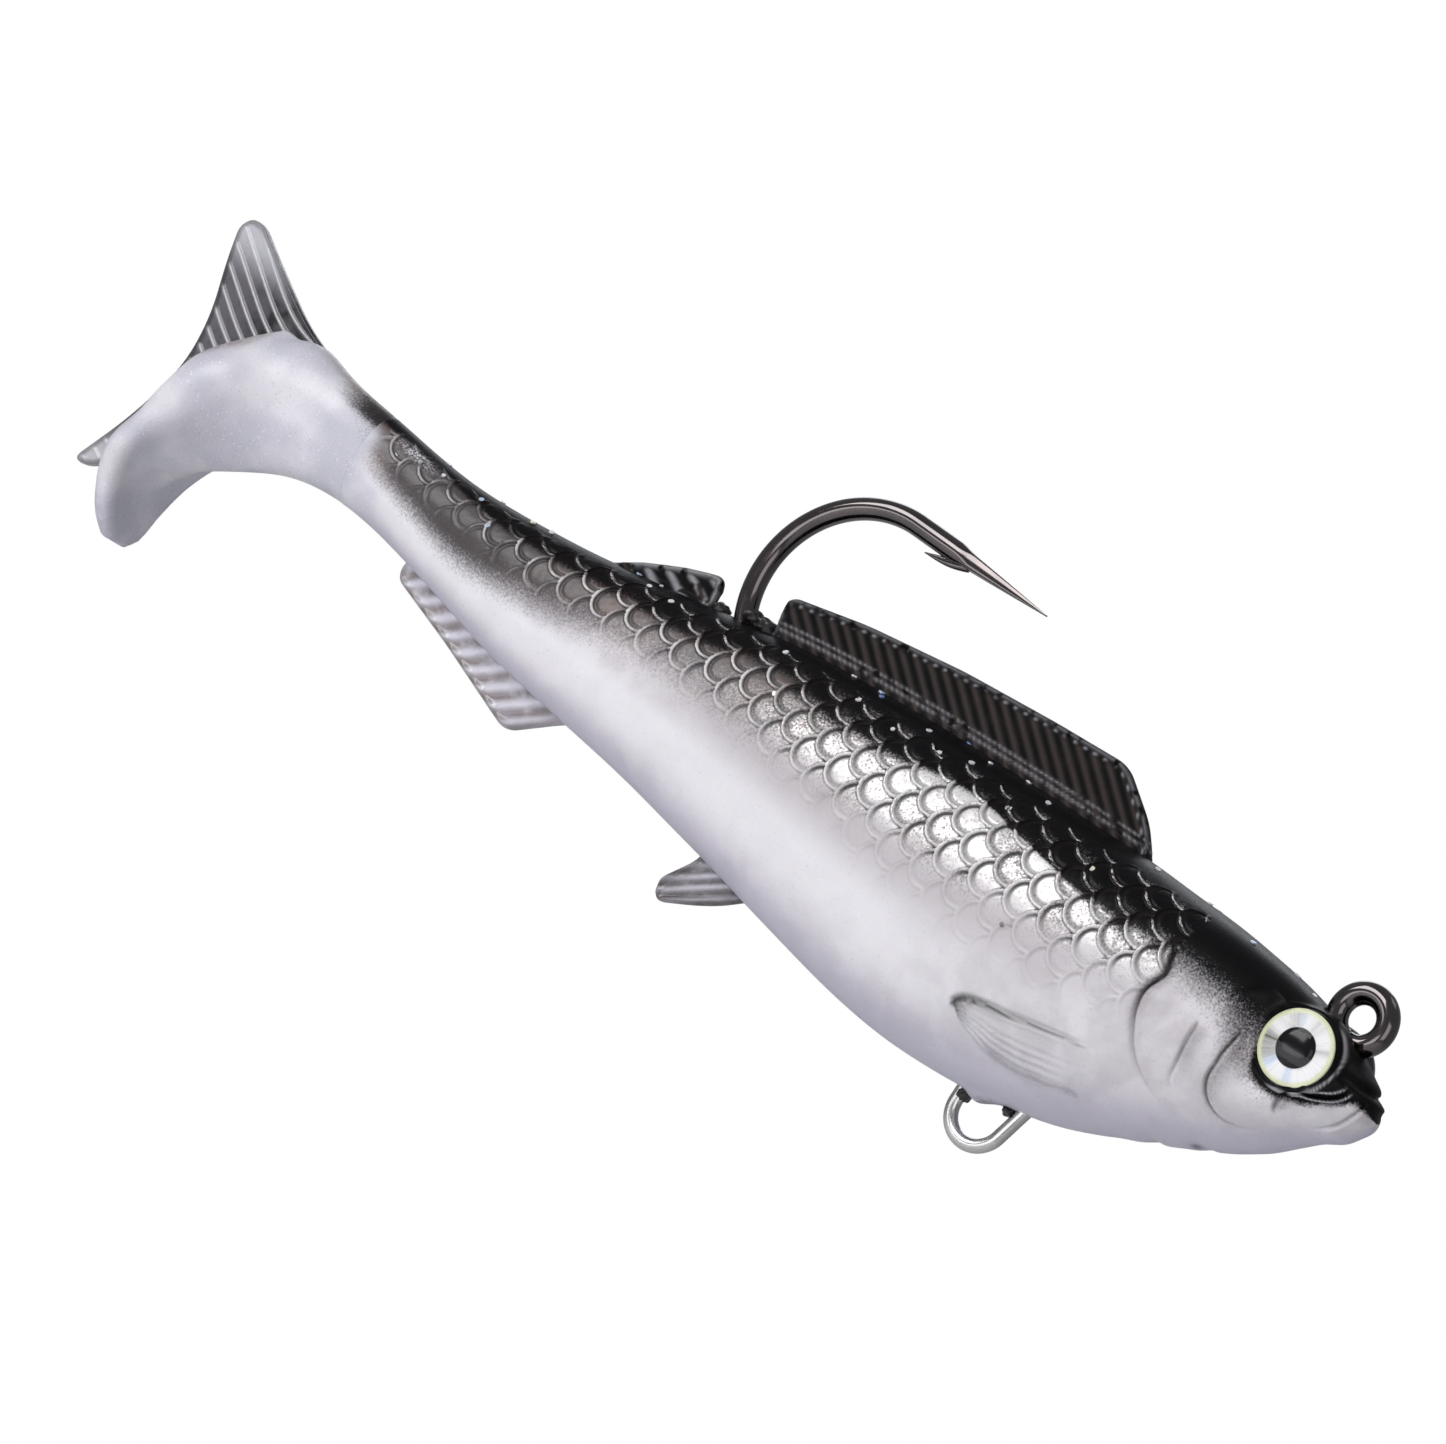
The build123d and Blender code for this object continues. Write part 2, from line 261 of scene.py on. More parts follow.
def ring_faces(rows, columns, closed=False):
    """Quads between rings that follow one another; closed joins the last ring to the first too."""
    here = np.arange(rows * columns).reshape(rows, columns)
    beside = np.roll(here, -1, axis=1)
    upto = rows if closed else rows - 1
    corners = (here, beside, np.roll(beside, -1, axis=0), np.roll(here, -1, axis=0))
    return quads(*[corner[:upto] for corner in corners])


def tube(name, rings):
    """A closed mesh from rings of points (n, m, 3), each end closed by a fan."""
    rows, columns = rings.shape[:2]
    points = np.concatenate([rings.reshape(-1, 3), rings[:1].mean(1), rings[-1:].mean(1)])
    start, end, last = rows * columns, rows * columns + 1, (rows - 1) * columns
    faces = ring_faces(rows, columns)
    for j in range(columns):
        beside = (j + 1) % columns
        faces += [(start, beside, j), (end, last + j, last + beside)]
    return make_mesh(name, points, faces)


def swept(line, radii, sides=32, shape=None):
    """Rings of a wire of varying radius along a line in the mid plane; shape gives its section."""
    turn = circle(sides)
    across = np.array([0.0, 1.0, 0.0])
    rings = []
    for i, (spot, ahead) in enumerate(zip(line, unit(np.gradient(line, axis=0)))):
        swell = shape(turn, i) if shape else np.ones(sides)
        ring = np.cos(turn)[:, None] * np.cross(ahead, across) + np.sin(turn)[:, None] * across
        rings.append(spot + ring * (radii[i] * swell)[:, None])
    return np.array(rings)


def srgb(red, green, blue):
    """A colour on the 0 to 255 scale as linear values with alpha."""
    linear = [((v / 255 + 0.055) / 1.055) ** 2.4 if v > 10 else v / 255 / 12.92 for v in (red, green, blue)]
    return (*linear, 1.0)


class Value:
    """A number that a node gives, so that the materials' sums read as sums."""

    def __init__(self, shader, socket):
        self.shader, self.socket = shader, socket

    def __add__(self, other):
        return self.shader.math("ADD", self, other)

    def __sub__(self, other):
        return self.shader.math("SUBTRACT", self, other)

    def __rsub__(self, other):
        return self.shader.math("SUBTRACT", other, self)

    def __mul__(self, other):
        return self.shader.math("MULTIPLY", self, other)

    def most(self, other):
        return self.shader.math("MAXIMUM", self, other)

    def ramp(self, low, high, start=0.0, end=1.0):
        """Changes smoothly from start at low to end at high; low may be the larger."""
        inputs = {"Value": self, "From Min": low, "From Max": high, "To Min": start, "To Max": end}
        return self.shader.value("MapRange", inputs, "Result", interpolation_type="SMOOTHSTEP")


class Shader:
    """The nodes of a material, or of the world, with a short call for each kind."""

    def __init__(self, name, owner=None):
        self.owner = owner or bpy.data.materials.new(name)
        self.owner.use_nodes = True
        self.tree = self.owner.node_tree
        self.tree.nodes.clear()

    def node(self, kind, inputs, **settings):
        made = self.tree.nodes.new("ShaderNode" + kind)
        for name, value in settings.items():
            setattr(made, name, value)
        for key, value in inputs.items():
            value = value.socket if isinstance(value, Value) else value
            if isinstance(value, bpy.types.NodeSocket):
                self.tree.links.new(value, made.inputs[key])
            else:
                made.inputs[key].default_value = value
        return made

    def value(self, kind, inputs, output=0, **settings):
        return Value(self, self.node(kind, inputs, **settings).outputs[output])

    def attribute(self, name):
        return self.node("Attribute", {}, attribute_name=name).outputs["Vector"]

    def masks(self, name):
        split = self.node("SeparateXYZ", {0: self.attribute(name)})
        return [Value(self, output) for output in split.outputs]

    def math(self, operation, a, b=0.0):
        return self.value("Math", {0: a, 1: b}, operation=operation)

    def mix(self, share, a, b):
        return self.node("Mix", {0: share, 6: a, 7: b}, data_type="RGBA").outputs[2]

    def coat(self, colour, share, *tint):
        """A share of one more tint laid over a colour."""
        return self.mix(share, colour, srgb(*tint))

    def noise(self, size, detail=2.0):
        """Noise whose blobs are about size millimetres, fixed to the piece at rest."""
        inputs = {"Vector": self.attribute("rest"), "Scale": 1 / (size * MM), "Detail": detail}
        return self.value("TexNoise", inputs, "Fac")

    def bump(self, height, strength, distance):
        inputs = {"Height": height, "Strength": strength, "Distance": distance * MM}
        return self.node("Bump", inputs).outputs["Normal"]

    def choice(self, share, first, second):
        """A shader that turns from the first into the second."""
        return self.node("MixShader", {0: share, 1: first.outputs[0], 2: second.outputs[0]})

    def surface(self, made):
        self.node("OutputMaterial", {"Surface": made.outputs[0]})
        return self.owner

    def principled(self, **inputs):
        keys = {key.replace("_", " "): value for key, value in inputs.items()}
        return self.surface(self.node("BsdfPrincipled", keys))


def dress(thing, material):
    thing.data.materials.clear()
    thing.data.materials.append(material)


def finished(thing, material, slot, *nodes):
    """Gives a piece its material and hides the CAD nodes that it stands for; the slot is not used."""
    dress(thing, material)
    if nodes:
        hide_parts(*nodes)


# ---------------------------------------------------------------- the painted skin

SCALE_PITCH = 3.0  # along the fish, in one row
SCALE_R = 1.54
SCALE_ROW = 1.52  # from one row to the next, along the girth
SCALE_SLANT = 1.08  # how far each row lies behind the one above it
SCALE_START = (2.0, 0.5)  # where the pattern starts along the fish and down from the back
EYE_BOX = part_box("eye_foil_left")
EYE_X, EYE_Z = [(EYE_BOX[0][k] + EYE_BOX[1][k]) / 2 / MM for k in (0, 2)]
EYE_FACE_Y = EYE_BOX[1][1] / MM - 0.09
EYE_R = (EYE_BOX[1][2] - EYE_BOX[0][2]) / 2 / MM
EYE_TOE_OUT = math.radians(2)
SOCKET_Y = 1.7  # where the bulge round each eye is widest
SOCKET_R = 3.1

# Folds and edges drawn in the side view, x and z
GILL_EDGE = [(-10.85, -2.5), (-10.6, -3.6), (-10.35, -4.4), (-10.5, -5.0), (-10.8, -5.7), (-10.9, -6.4)]
GILL_EDGE += [(-10.8, -7.1), (-10.6, -7.8), (-10.3, -8.5), (-9.95, -9.2), (-9.3, -10.1), (-8.0, -11.2)]
GILL_EDGE += [(-7.1, -11.5)]
CHEEK_REAR = [(-6.85, -5.7), (-6.9, -6.6), (-6.9, -7.4), (-6.85, -8.4), (-6.85, -9.3), (-6.8, -10.1)]
CHEEK_REAR += [(-5.9, -10.9)]
CHEEK_FRONT = [(-4.75, -4.4), (-4.6, -5.4), (-4.6, -6.5), (-4.6, -7.5), (-4.7, -8.4), (-4.6, -9.1)]
CHEEK_FRONT += [(-4.3, -9.7), (-3.4, -10.35), (-2.5, -10.4), (-1.5, -10.1), (-0.4, -9.4)]
LIP_LINE = [(0.05, -8.3), (-0.2, -8.05), (-0.28, -7.6), (-0.2, -7.1), (0.2, -6.5), (1.1, -6.05)]
LIP_LINE += [(1.9, -5.7), (2.65, -5.2), (3.0, -4.65), (3.15, -4.2)]
JAW_LINE = [(4.1, -4.3), (4.1, -5.1), (3.75, -6.05), (3.0, -7.05), (2.0, -7.8)]
PECTORAL_TOP = [(-11.9, -11.25), (-13.1, -11.4), (-14.5, -11.6), (-16.0, -11.85), (-17.6, -12.15)]
PECTORAL_TOP += [(-19.1, -12.4), (-20.3, -12.55), (-21.4, -12.8), (-22.1, -13.1), (-22.5, -13.5)]
PECTORAL_LOW = [(-22.45, -13.65), (-22.0, -14.15), (-21.1, -14.6), (-20.0, -15.0), (-19.2, -15.25)]
PECTORAL_LOW += [(-18.1, -15.35), (-17.1, -15.4), (-15.6, -15.2), (-14.1, -14.95), (-12.75, -14.6)]

# How far the paint's coats reach down from the back along the body, as shares of the half girth
BLACK_EDGE = cubic(
    [-92, -88, -86, -80, -75, -65, -55, -50, -40, -30, -25, -20, -15, -10, -6, -2, 3, 6],
    [0.08, 0.17, 0.2, 0.2, 0.26, 0.28, 0.3, 0.26, 0.29, 0.24, 0.27, 0.31, 0.34, 0.36, 0.4, 0.44, 0.44, 0.4],
)
BLACK_SOFTNESS = cubic([-92, -80, -40, -14, -9, -3, 6], [0.12, 0.08, 0.08, 0.09, 0.18, 0.2, 0.12])
SMOKE_X = [-92, -88, -86, -83, -80, -75, -70, -65, -60, -50, -45, -38, -30]
SMOKE_EDGE = cubic(SMOKE_X, [0.2, 0.46, 0.5, 0.55, 0.57, 0.59, 0.54, 0.49, 0.45, 0.43, 0.43, 0.4, 0.36])
SMOKE_DEPTH = cubic(SMOKE_X, [0.1, 0.3, 0.75, 0.9, 0.97, 1.0, 0.98, 0.95, 0.9, 0.85, 0.65, 0.3, 0.0])
# On the snout the black ends at this height
SNOUT_X = [-1.2, -0.4, 0.4, 1.1, 2.2, 3.2, 3.9, 4.5, 5.4]
SNOUT_EDGE = cubic(SNOUT_X, [-6.3, -6.9, -7.0, -6.8, -6.1, -5.4, -4.7, -4.35, -4.35])
SCALES_END = cubic([-90, -80, -60, -45, -30, -20, -10], [0.46, 0.46, 0.47, 0.52, 0.54, 0.56, 0.56])


def skin_lattice():
    """Stations and shares of the half girth, close where the scales and the head are."""
    coarse = 1.0
    turn = np.linspace(0, math.pi / 2, int(56 / coarse))[1:]
    nose = NOSE_ROUND_X + (NOSE_TIP_X - NOSE_ROUND_X) * np.cos(turn)
    head = np.arange(NOSE_ROUND_X, -12, -0.095 * coarse)[1:]
    rest = np.linspace(head[-1], SKIN_END_X, int((head[-1] - SKIN_END_X) / (0.10 * coarse)))[1:]
    x = np.concatenate([nose, head, rest])
    bands = ((0.0, 0.12, 22), (0.12, 0.60, 150), (0.60, 1.0, 70))
    girth = [np.linspace(low, high, int(count / coarse), endpoint=False) for low, high, count in bands]
    return x, np.concatenate([*girth, [1.0]])


def socket_reach(x, direction, middle_z, rim_y):
    """How far the bulge round the eye reaches along each ray out from the middle, 0 where it is missed."""
    reach = np.zeros(direction.shape[:-1])
    close = 0.06
    before = np.full(reach.shape, 9.0)
    for out in np.arange(0, 7, close):
        y, z = direction[..., 0] * out, middle_z + direction[..., 1] * out
        side = (y - SOCKET_Y) / np.where(y > SOCKET_Y, rim_y - SOCKET_Y, 1.5)
        value = (np.hypot(x - EYE_X, z - EYE_Z) / SOCKET_R) ** 3 + np.abs(side) ** 3
        leaving = (before < 1) & (value >= 1)
        share = np.where(leaving, (1 - before) / np.where(leaving, value - before, 1), 0)
        reach = np.where(leaving, out - close + share * close, reach)
        before = value
    return reach


def shape_head(points):
    """Sets the eye sockets into the head: a bulge, a raised rim and a seat for the foil; then the mouth."""
    x, y, z = points[..., 0], points[..., 1], points[..., 2]
    face_y = EYE_FACE_Y - math.tan(EYE_TOE_OUT) * (x - EYE_X)
    rim_y = face_y + 0.2
    # The cheek comes in to the rim
    radius = np.hypot(x - EYE_X, z - EYE_Z)
    share = 1 - step(EYE_R + 0.2, EYE_R + 2.4, radius)
    y = np.where(y > rim_y, y + (rim_y - y) * share, y)
    # The bulge stands out of the crown and the snout
    middle_z = EYE_Z - 0.8
    out = np.stack([y, z - middle_z], -1)
    length = np.linalg.norm(out, axis=-1) + 1e-9
    direction = out / length[..., None]
    rows = np.abs(x[:, 0] - EYE_X) < SOCKET_R
    bulge = np.zeros_like(length)
    bulge[rows] = socket_reach(x[rows], direction[rows], middle_z, rim_y[rows])
    grown = np.where(bulge > 0, np.logaddexp(9 * length, 9 * bulge) / 9, length)
    grown = length + (grown - length) * step(0.2, 1.0, y)
    y, z = direction[..., 0] * grown, middle_z + direction[..., 1] * grown
    # The bead round the foil and the seat under it
    radius = np.hypot(x - EYE_X, z - EYE_Z)
    outer = step(2.2, 2.8, y)
    y = y + outer * 0.16 * hump(radius - EYE_R - 0.33, 0.13)
    seat = 1 - step(EYE_R + 0.02, EYE_R + 0.14, radius)
    y = np.where((y > 2.4) & (seat > 0), y + (face_y - 0.25 - y) * seat, y)
    shaped = np.stack([x, y, z], -1)
    # The mouth: a full upper lip, a step in under it, and the lower jaw standing out past both
    snout = step(1.5, 3.8, x)
    mouth = ((0.30, 3.2, 0.4), (-0.22, 3.75, 0.14), (0.30, 4.2, 0.28), (0.1, 5.7, 0.6), (0.3, 7.6, 0.7))
    shaped[..., 0] += snout * sum(stands * hump(z + down, width) for stands, down, width in mouth)
    return shaped


def scallops(x, arc):
    """The moulded scales: distance in from the free edge and out from the scale above, lie and number."""
    back = -x - SCALE_START[0]
    row = (arc - SCALE_START[1]) / SCALE_ROW
    circles = []
    for nudge in (-1, 0, 1, 2):
        line = np.floor(row) + nudge
        for ahead in (0, 1):
            column = np.floor((back - line * SCALE_SLANT) / SCALE_PITCH) + ahead
            middle = column * SCALE_PITCH + line * SCALE_SLANT
            number = np.abs(np.sin(line * 12.9898 + column * 78.233)) * 43.7 % 1
            circles.append((middle, back - middle, (row - line) * SCALE_R, number))
    edge, tailward, downward, code = np.zeros((4, *x.shape))
    over, centre = np.full(x.shape, 9.0), np.full(x.shape, 1e3)
    for middle, behind, across, number in circles:
        gap = np.hypot(behind, across)
        shows = (gap < SCALE_R) & (middle < centre)
        found = (SCALE_R - gap, behind / SCALE_R, across / SCALE_R, number, middle)
        for kept, value in zip((edge, tailward, downward, code, centre), found):
            kept[shows] = value[shows]
    for middle, behind, across, _ in circles:
        gap = np.hypot(behind, across)
        over = np.where((gap >= SCALE_R) & (middle < centre), np.minimum(over, gap - SCALE_R), over)
    return edge, over, tailward, downward, code


def to_feature(points, spots):
    """Signed distance to a line drawn in the side view and laid on the skin, and the share along it."""
    line = through(spots)
    flat = points.reshape(-1, 3)
    side_view = flat[:, [0, 2]]
    low, high = line.min(0) - 0.5, line.max(0) + 0.5
    near = flat[np.all((side_view > low) & (side_view < high), axis=1)]
    laid = []
    for x, z in line:
        best = np.argmin((near[:, 0] - x) ** 2 + (near[:, 2] - z) ** 2)
        laid.append((x, near[best, 1], z))
    return distance_to(points, np.array(laid))


def gill_and_cheek(points, height, ink, painted_shade):
    """The gill cover ends in an edge over the first scales; the cheek plates and the jaw end in creases.
    Painted shade lies round the gill cover's edge and beside each crease.
    """
    gill, along = to_feature(points, GILL_EDGE[::-1])
    along = 1 - along
    fade = step(0, 0.04, along) * (1 - step(0.75, 1, along))
    ahead = np.where(gill < 0, -gill, 0)
    height += np.where(gill < 0, 0.34 * np.exp(-ahead / 1.6) * fade * step(0, 0.12, ahead), 0)
    height -= 0.30 * hump(gill - 0.10, 0.20) * fade
    thick = 0.10 + 0.22 * (1 - step(0.2, 0.5, along))
    ink += hump(gill - 0.08, thick) * fade * (1 - 0.75 * step(0.3, 0.7, along))
    # Painted shade round the gill cover's edge
    painted_shade += 0.55 * hump(gill, 0.55) * fade * (1 - step(0.35, 0.8, along))
    for spots, depth, dark in ((CHEEK_REAR, 0.20, 0.60), (CHEEK_FRONT, 0.28, 0.85), (JAW_LINE, 0.2, 0.3)):
        line, along = to_feature(points, spots[::-1])
        along = 1 - along
        fade = step(0, 0.12, along) * (1 - step(0.7, 1, along))
        height += np.where(line < 0, 0.14 * np.exp(line / 0.9), 0) * fade
        height -= depth * hump(line, 0.13) * fade
        ink += dark * hump(line, 0.12) * fade * (1 - step(0.45, 0.85, along))
        # Painted shade beside each crease
        painted_shade += 0.6 * dark * hump(line + 0.35, 0.7) * fade * (1 - step(0.35, 0.9, along))
    return gill


def lips(points, height, ink, painted_shade, painted_highlight):
    """The fold of the upper lip: a black crease between two beads with painted highlights, that hooks down
    at its rear end.
    """
    lip, along = to_feature(points, LIP_LINE)
    fade = step(0, 0.12, along) * (1 - step(0.9, 1, along))
    front = step(0.3, 0.42, along) * fade
    height += np.where(lip > 0, 0.22 * np.exp(-lip / 0.7), 0) * fade
    height -= 0.26 * hump(lip, 0.13) * fade
    height += 0.12 * (hump(lip - 0.30, 0.10) + hump(lip + 0.27, 0.10)) * front
    # The beads' painted highlights come and go along the fold
    patchy = 0.5 + 0.5 * ridge(points[..., 0] + points[..., 2], 0.36)
    painted_highlight += (hump(lip - 0.30, 0.05) * step(0.55, 0.65, along) + hump(lip + 0.27, 0.05)) * front * patchy
    ink += hump(lip, 0.16) * fade * (0.55 + 0.45 * step(0.15, 0.35, along))
    # Painted shade under the fold
    painted_shade += 0.5 * hump(lip + 0.4, 0.4) * fade * (1 - step(0.3, 0.5, along))


def pectoral(points, height, ink, painted_shade, painted_highlight):
    """The fin moulded onto the flank: a thick dark leading edge, soft rays and a soft lower edge."""
    x = points[..., 0]
    upper, along_up = to_feature(points, PECTORAL_TOP)
    lower, _ = to_feature(points, PECTORAL_LOW)
    near = (np.abs(upper) < 50) & (np.abs(lower) < 50)
    inside = step(0.0, 0.10, upper) * step(0.0, 0.30, lower) * near * step(-11.6, -13.0, x)
    fan = np.abs(upper) / (np.abs(upper) + np.abs(lower) + 1e-6)
    rays = np.cos(fan * 2 * math.pi * 7) * step(0.15, 0.5, fan) * step(-12.5, -16.0, x)
    height += inside * (0.10 + 0.42 * step(-12.0, -20.0, x) * (1 - 0.6 * step(0.1, 0.9, fan)) + 0.05 * rays)
    height += 0.12 * hump(upper - 0.24, 0.10) * near * step(0.05, 0.3, along_up)
    height -= 0.16 * hump(upper + 0.10, 0.13) * near * step(0.05, 0.2, along_up)
    height -= 0.07 * hump(lower - 0.45, 0.2) * inside
    height += 0.07 * hump(lower - 0.1, 0.2) * near * step(-13, -15, x) * step(-20.5, -19, x)
    leading = hump(upper - 0.04, 0.10 + 0.18 * along_up**3) * (0.6 + 0.4 * along_up)
    ink += leading * near * step(0.0, 0.15, along_up)
    # Painted highlight along the bead over the leading edge
    painted_highlight += 0.6 * hump(upper - 0.28, 0.07) * near * step(0.15, 0.5, along_up) * step(0.97, 0.9, along_up)
    # Painted shade at the fin's rear end, between its rays and along its lower edge
    painted_shade += 0.8 * hump(upper - 0.4, 0.8) * step(0.8, 1.0, along_up) * inside
    painted_shade += 0.24 * inside * step(0.2, -1.0, rays)
    painted_shade += 0.4 * hump(lower - 0.5, 0.25) * inside * step(-20.5, -18.5, x)


def relief(points, arc, girth_length):
    """Height of the moulded detail over the half skin in millimetres, and groups of masks that paint it."""
    x, y, z = points[..., 0], points[..., 1], points[..., 2]
    share = arc / girth_length[:, None]
    height, ink, painted_shade, painted_highlight = np.zeros((4, *x.shape))
    gill = gill_and_cheek(points, height, ink, painted_shade)
    lips(points, height, ink, painted_shade, painted_highlight)
    pectoral(points, height, ink, painted_shade, painted_highlight)

    # The bead round the front of the eye catches the light
    ring = hump(np.hypot(x - EYE_X, z - EYE_Z) - EYE_R - 0.36, 0.05)
    painted_highlight += 0.7 * ring * step(0.4, 1.4, x - EYE_X - 0.3 * (z - EYE_Z)) * step(2.0, 2.6, y)

    # Scales, fading out into soft ridges below
    edge, over, tailward, downward, code = scallops(x, arc)
    behind_gill = step(0.1, 0.35, np.where(np.abs(gill) < 50, gill, np.where(x < -9, 9, -9)))
    cover = behind_gill * step(-86.6, -85.4, x) * step(0.13, 0.18, share)
    cover = cover * (1 - step(-0.15, 0.04, share - SCALES_END(x) + 0.03 * waves(points, 4.0, 3)))
    cover = cover * (1 - 0.45 * step(-68, -80, x))
    crest = 1 - step(0.14, 0.26, edge)
    furrow = hump(edge - 0.38, 0.13)
    tilt = (code - 0.5) * 0.10 * tailward
    height += cover * (0.10 * crest - 0.10 * furrow + 0.09 * tailward + tilt)
    height += cover * 0.012 * waves(points, 0.5, 5)

    # Lumps left by the mould along the chin, and flesh drawn down between the legs of the hanger
    under = step(0.86, 1.0, share)
    height += 0.08 * under * waves(points, 2.4, 11) * step(-14, -8, x) * step(4, 0, x)
    height -= under * (0.30 * hump(x + 4.5, 0.5) + 0.28 * hump(x + 7.7, 0.6))
    height += 0.50 * hump(x + 20.2, 1.0) * step(0.93, 1.0, share)
    height += 0.05 * waves(points, 6.0, 2) * step(-2, -12, x) * step(-82, -76, x)
    rough = 0.5 + 0.5 * waves(points, 0.5, 17)
    ink += 0.8 * step(0.955, 0.985, share) * hump(x + 19.4, 1.2) * rough
    ink += 0.7 * step(0.94, 0.99, share) * hump(x + 4.9, 0.22)
    masks = {"scales": (edge, over, cover), "lie": (tailward, downward, code)}
    return height, masks | {"marks": np.clip((ink, painted_shade, painted_highlight), 0, 1)}


def paint_zones(points, arc, girth_length):
    """Where the airbrushed colours lie: black back, smoky band, milky tail, silver flank, lilac belly; and
    where the painted sheen and painted glints lie.
    """
    x, z = points[..., 0], points[..., 2]
    share = arc / girth_length[:, None]
    # The black edge runs low on the head, rises along the flank and fades out over the wrist
    black = 0.5 + (BLACK_EDGE(x) - share) / BLACK_SOFTNESS(x)
    # Round the eye and on the snout everything down to just below the lip is black
    radius = np.hypot(x - EYE_X, z - EYE_Z)
    black = np.maximum(black, step(-1.5, -0.6, x) * (0.5 + (z - SNOUT_EDGE(x)) / 0.7))
    lid = EYE_R + 0.25 - 0.85 * step(0.5, -2.5, x - EYE_X + 0.5 * (EYE_Z - z))
    black = np.maximum(black, 1.3 - (radius - lid) / 0.7)
    cheek = 0.75 * hump(radius - EYE_R - 0.5, 1.5) * step(0.5, -1.5, x) * step(-9.5, -6.0, z)
    smoke = (0.5 + (SMOKE_EDGE(x) - share) / 0.22) * np.clip(SMOKE_DEPTH(x), 0, 1)
    deep = step(-62, -72, x) * step(-86, -82, x)
    # The milky flesh of the tail comes forward along the belly
    low = step(0.5, 0.7, share)
    milk = step(0, 1, (-86.4 + 7.4 * low - x) / (2.4 + 6.0 * low))
    milk = milk * step(0.42, 0.60, share + 0.02 * waves(points, 1.0, 31))
    milk = np.maximum(milk, 0.95 * step(-85.2, -87.8, x) * step(0.20, 0.34, share))
    silver = step(0.14, 0.24, share) * step(0.50, 0.36, share) * step(-52, -42, x) * step(-10, -11, x)
    haze = hump(share - 0.45, 0.11) * step(-62, -46, x) * step(-10.5, -20, x)
    # A paler band along the lower flank: partly the pearl paint, partly a painted sheen
    pearl_and_sheen = step(0.50, 0.62, share) * step(0.86, 0.70, share) * (0.3 + 0.7 * step(-18, -32, x))
    # Painted glints: a pale speckled patch high on the wrist
    painted_glints = hump(x + 83.2, 1.9) * hump(share - 0.22, 0.045)
    zones = {"zones": (black, smoke, milk), "pearl": (silver, step(0.66, 0.95, share), pearl_and_sheen)}
    zones.update(veils=(cheek, haze, deep), patch=(painted_glints,))
    return {name: np.clip(group, 0, 1) for name, group in zones.items()}


def mirrored(half):
    """Both sides of a half array, going round: left from back to belly, then right back up."""
    return np.concatenate([half, half[:, -2:0:-1]], axis=1)


def body_skin():
    x, girth = skin_lattice()
    points, arc, girth_length = half_skin(x, girth)
    points = shape_head(points)
    height, masks = relief(points, arc, girth_length)
    masks.update(paint_zones(points, arc, girth_length))
    points = points + half_normals(points) * height[..., None]
    points[:, 0, 1] = points[:, -1, 1] = 0
    rings = mirrored(points)
    rings[:, len(girth) :, 1] *= -1
    skin = tube("body_skin", rings)
    for name, group in masks.items():
        whole = [np.concatenate([mirrored(mask).ravel(), mask[0, :1], mask[-1, :1]]) for mask in group]
        store(skin, name, *whole)
    bend_with_sweep(skin)
    nodes = ("body_front", "body_rear", "pectoral_fin_left", "pectoral_fin_right")
    finished(skin, skin_paint(), "soft_body", *nodes)


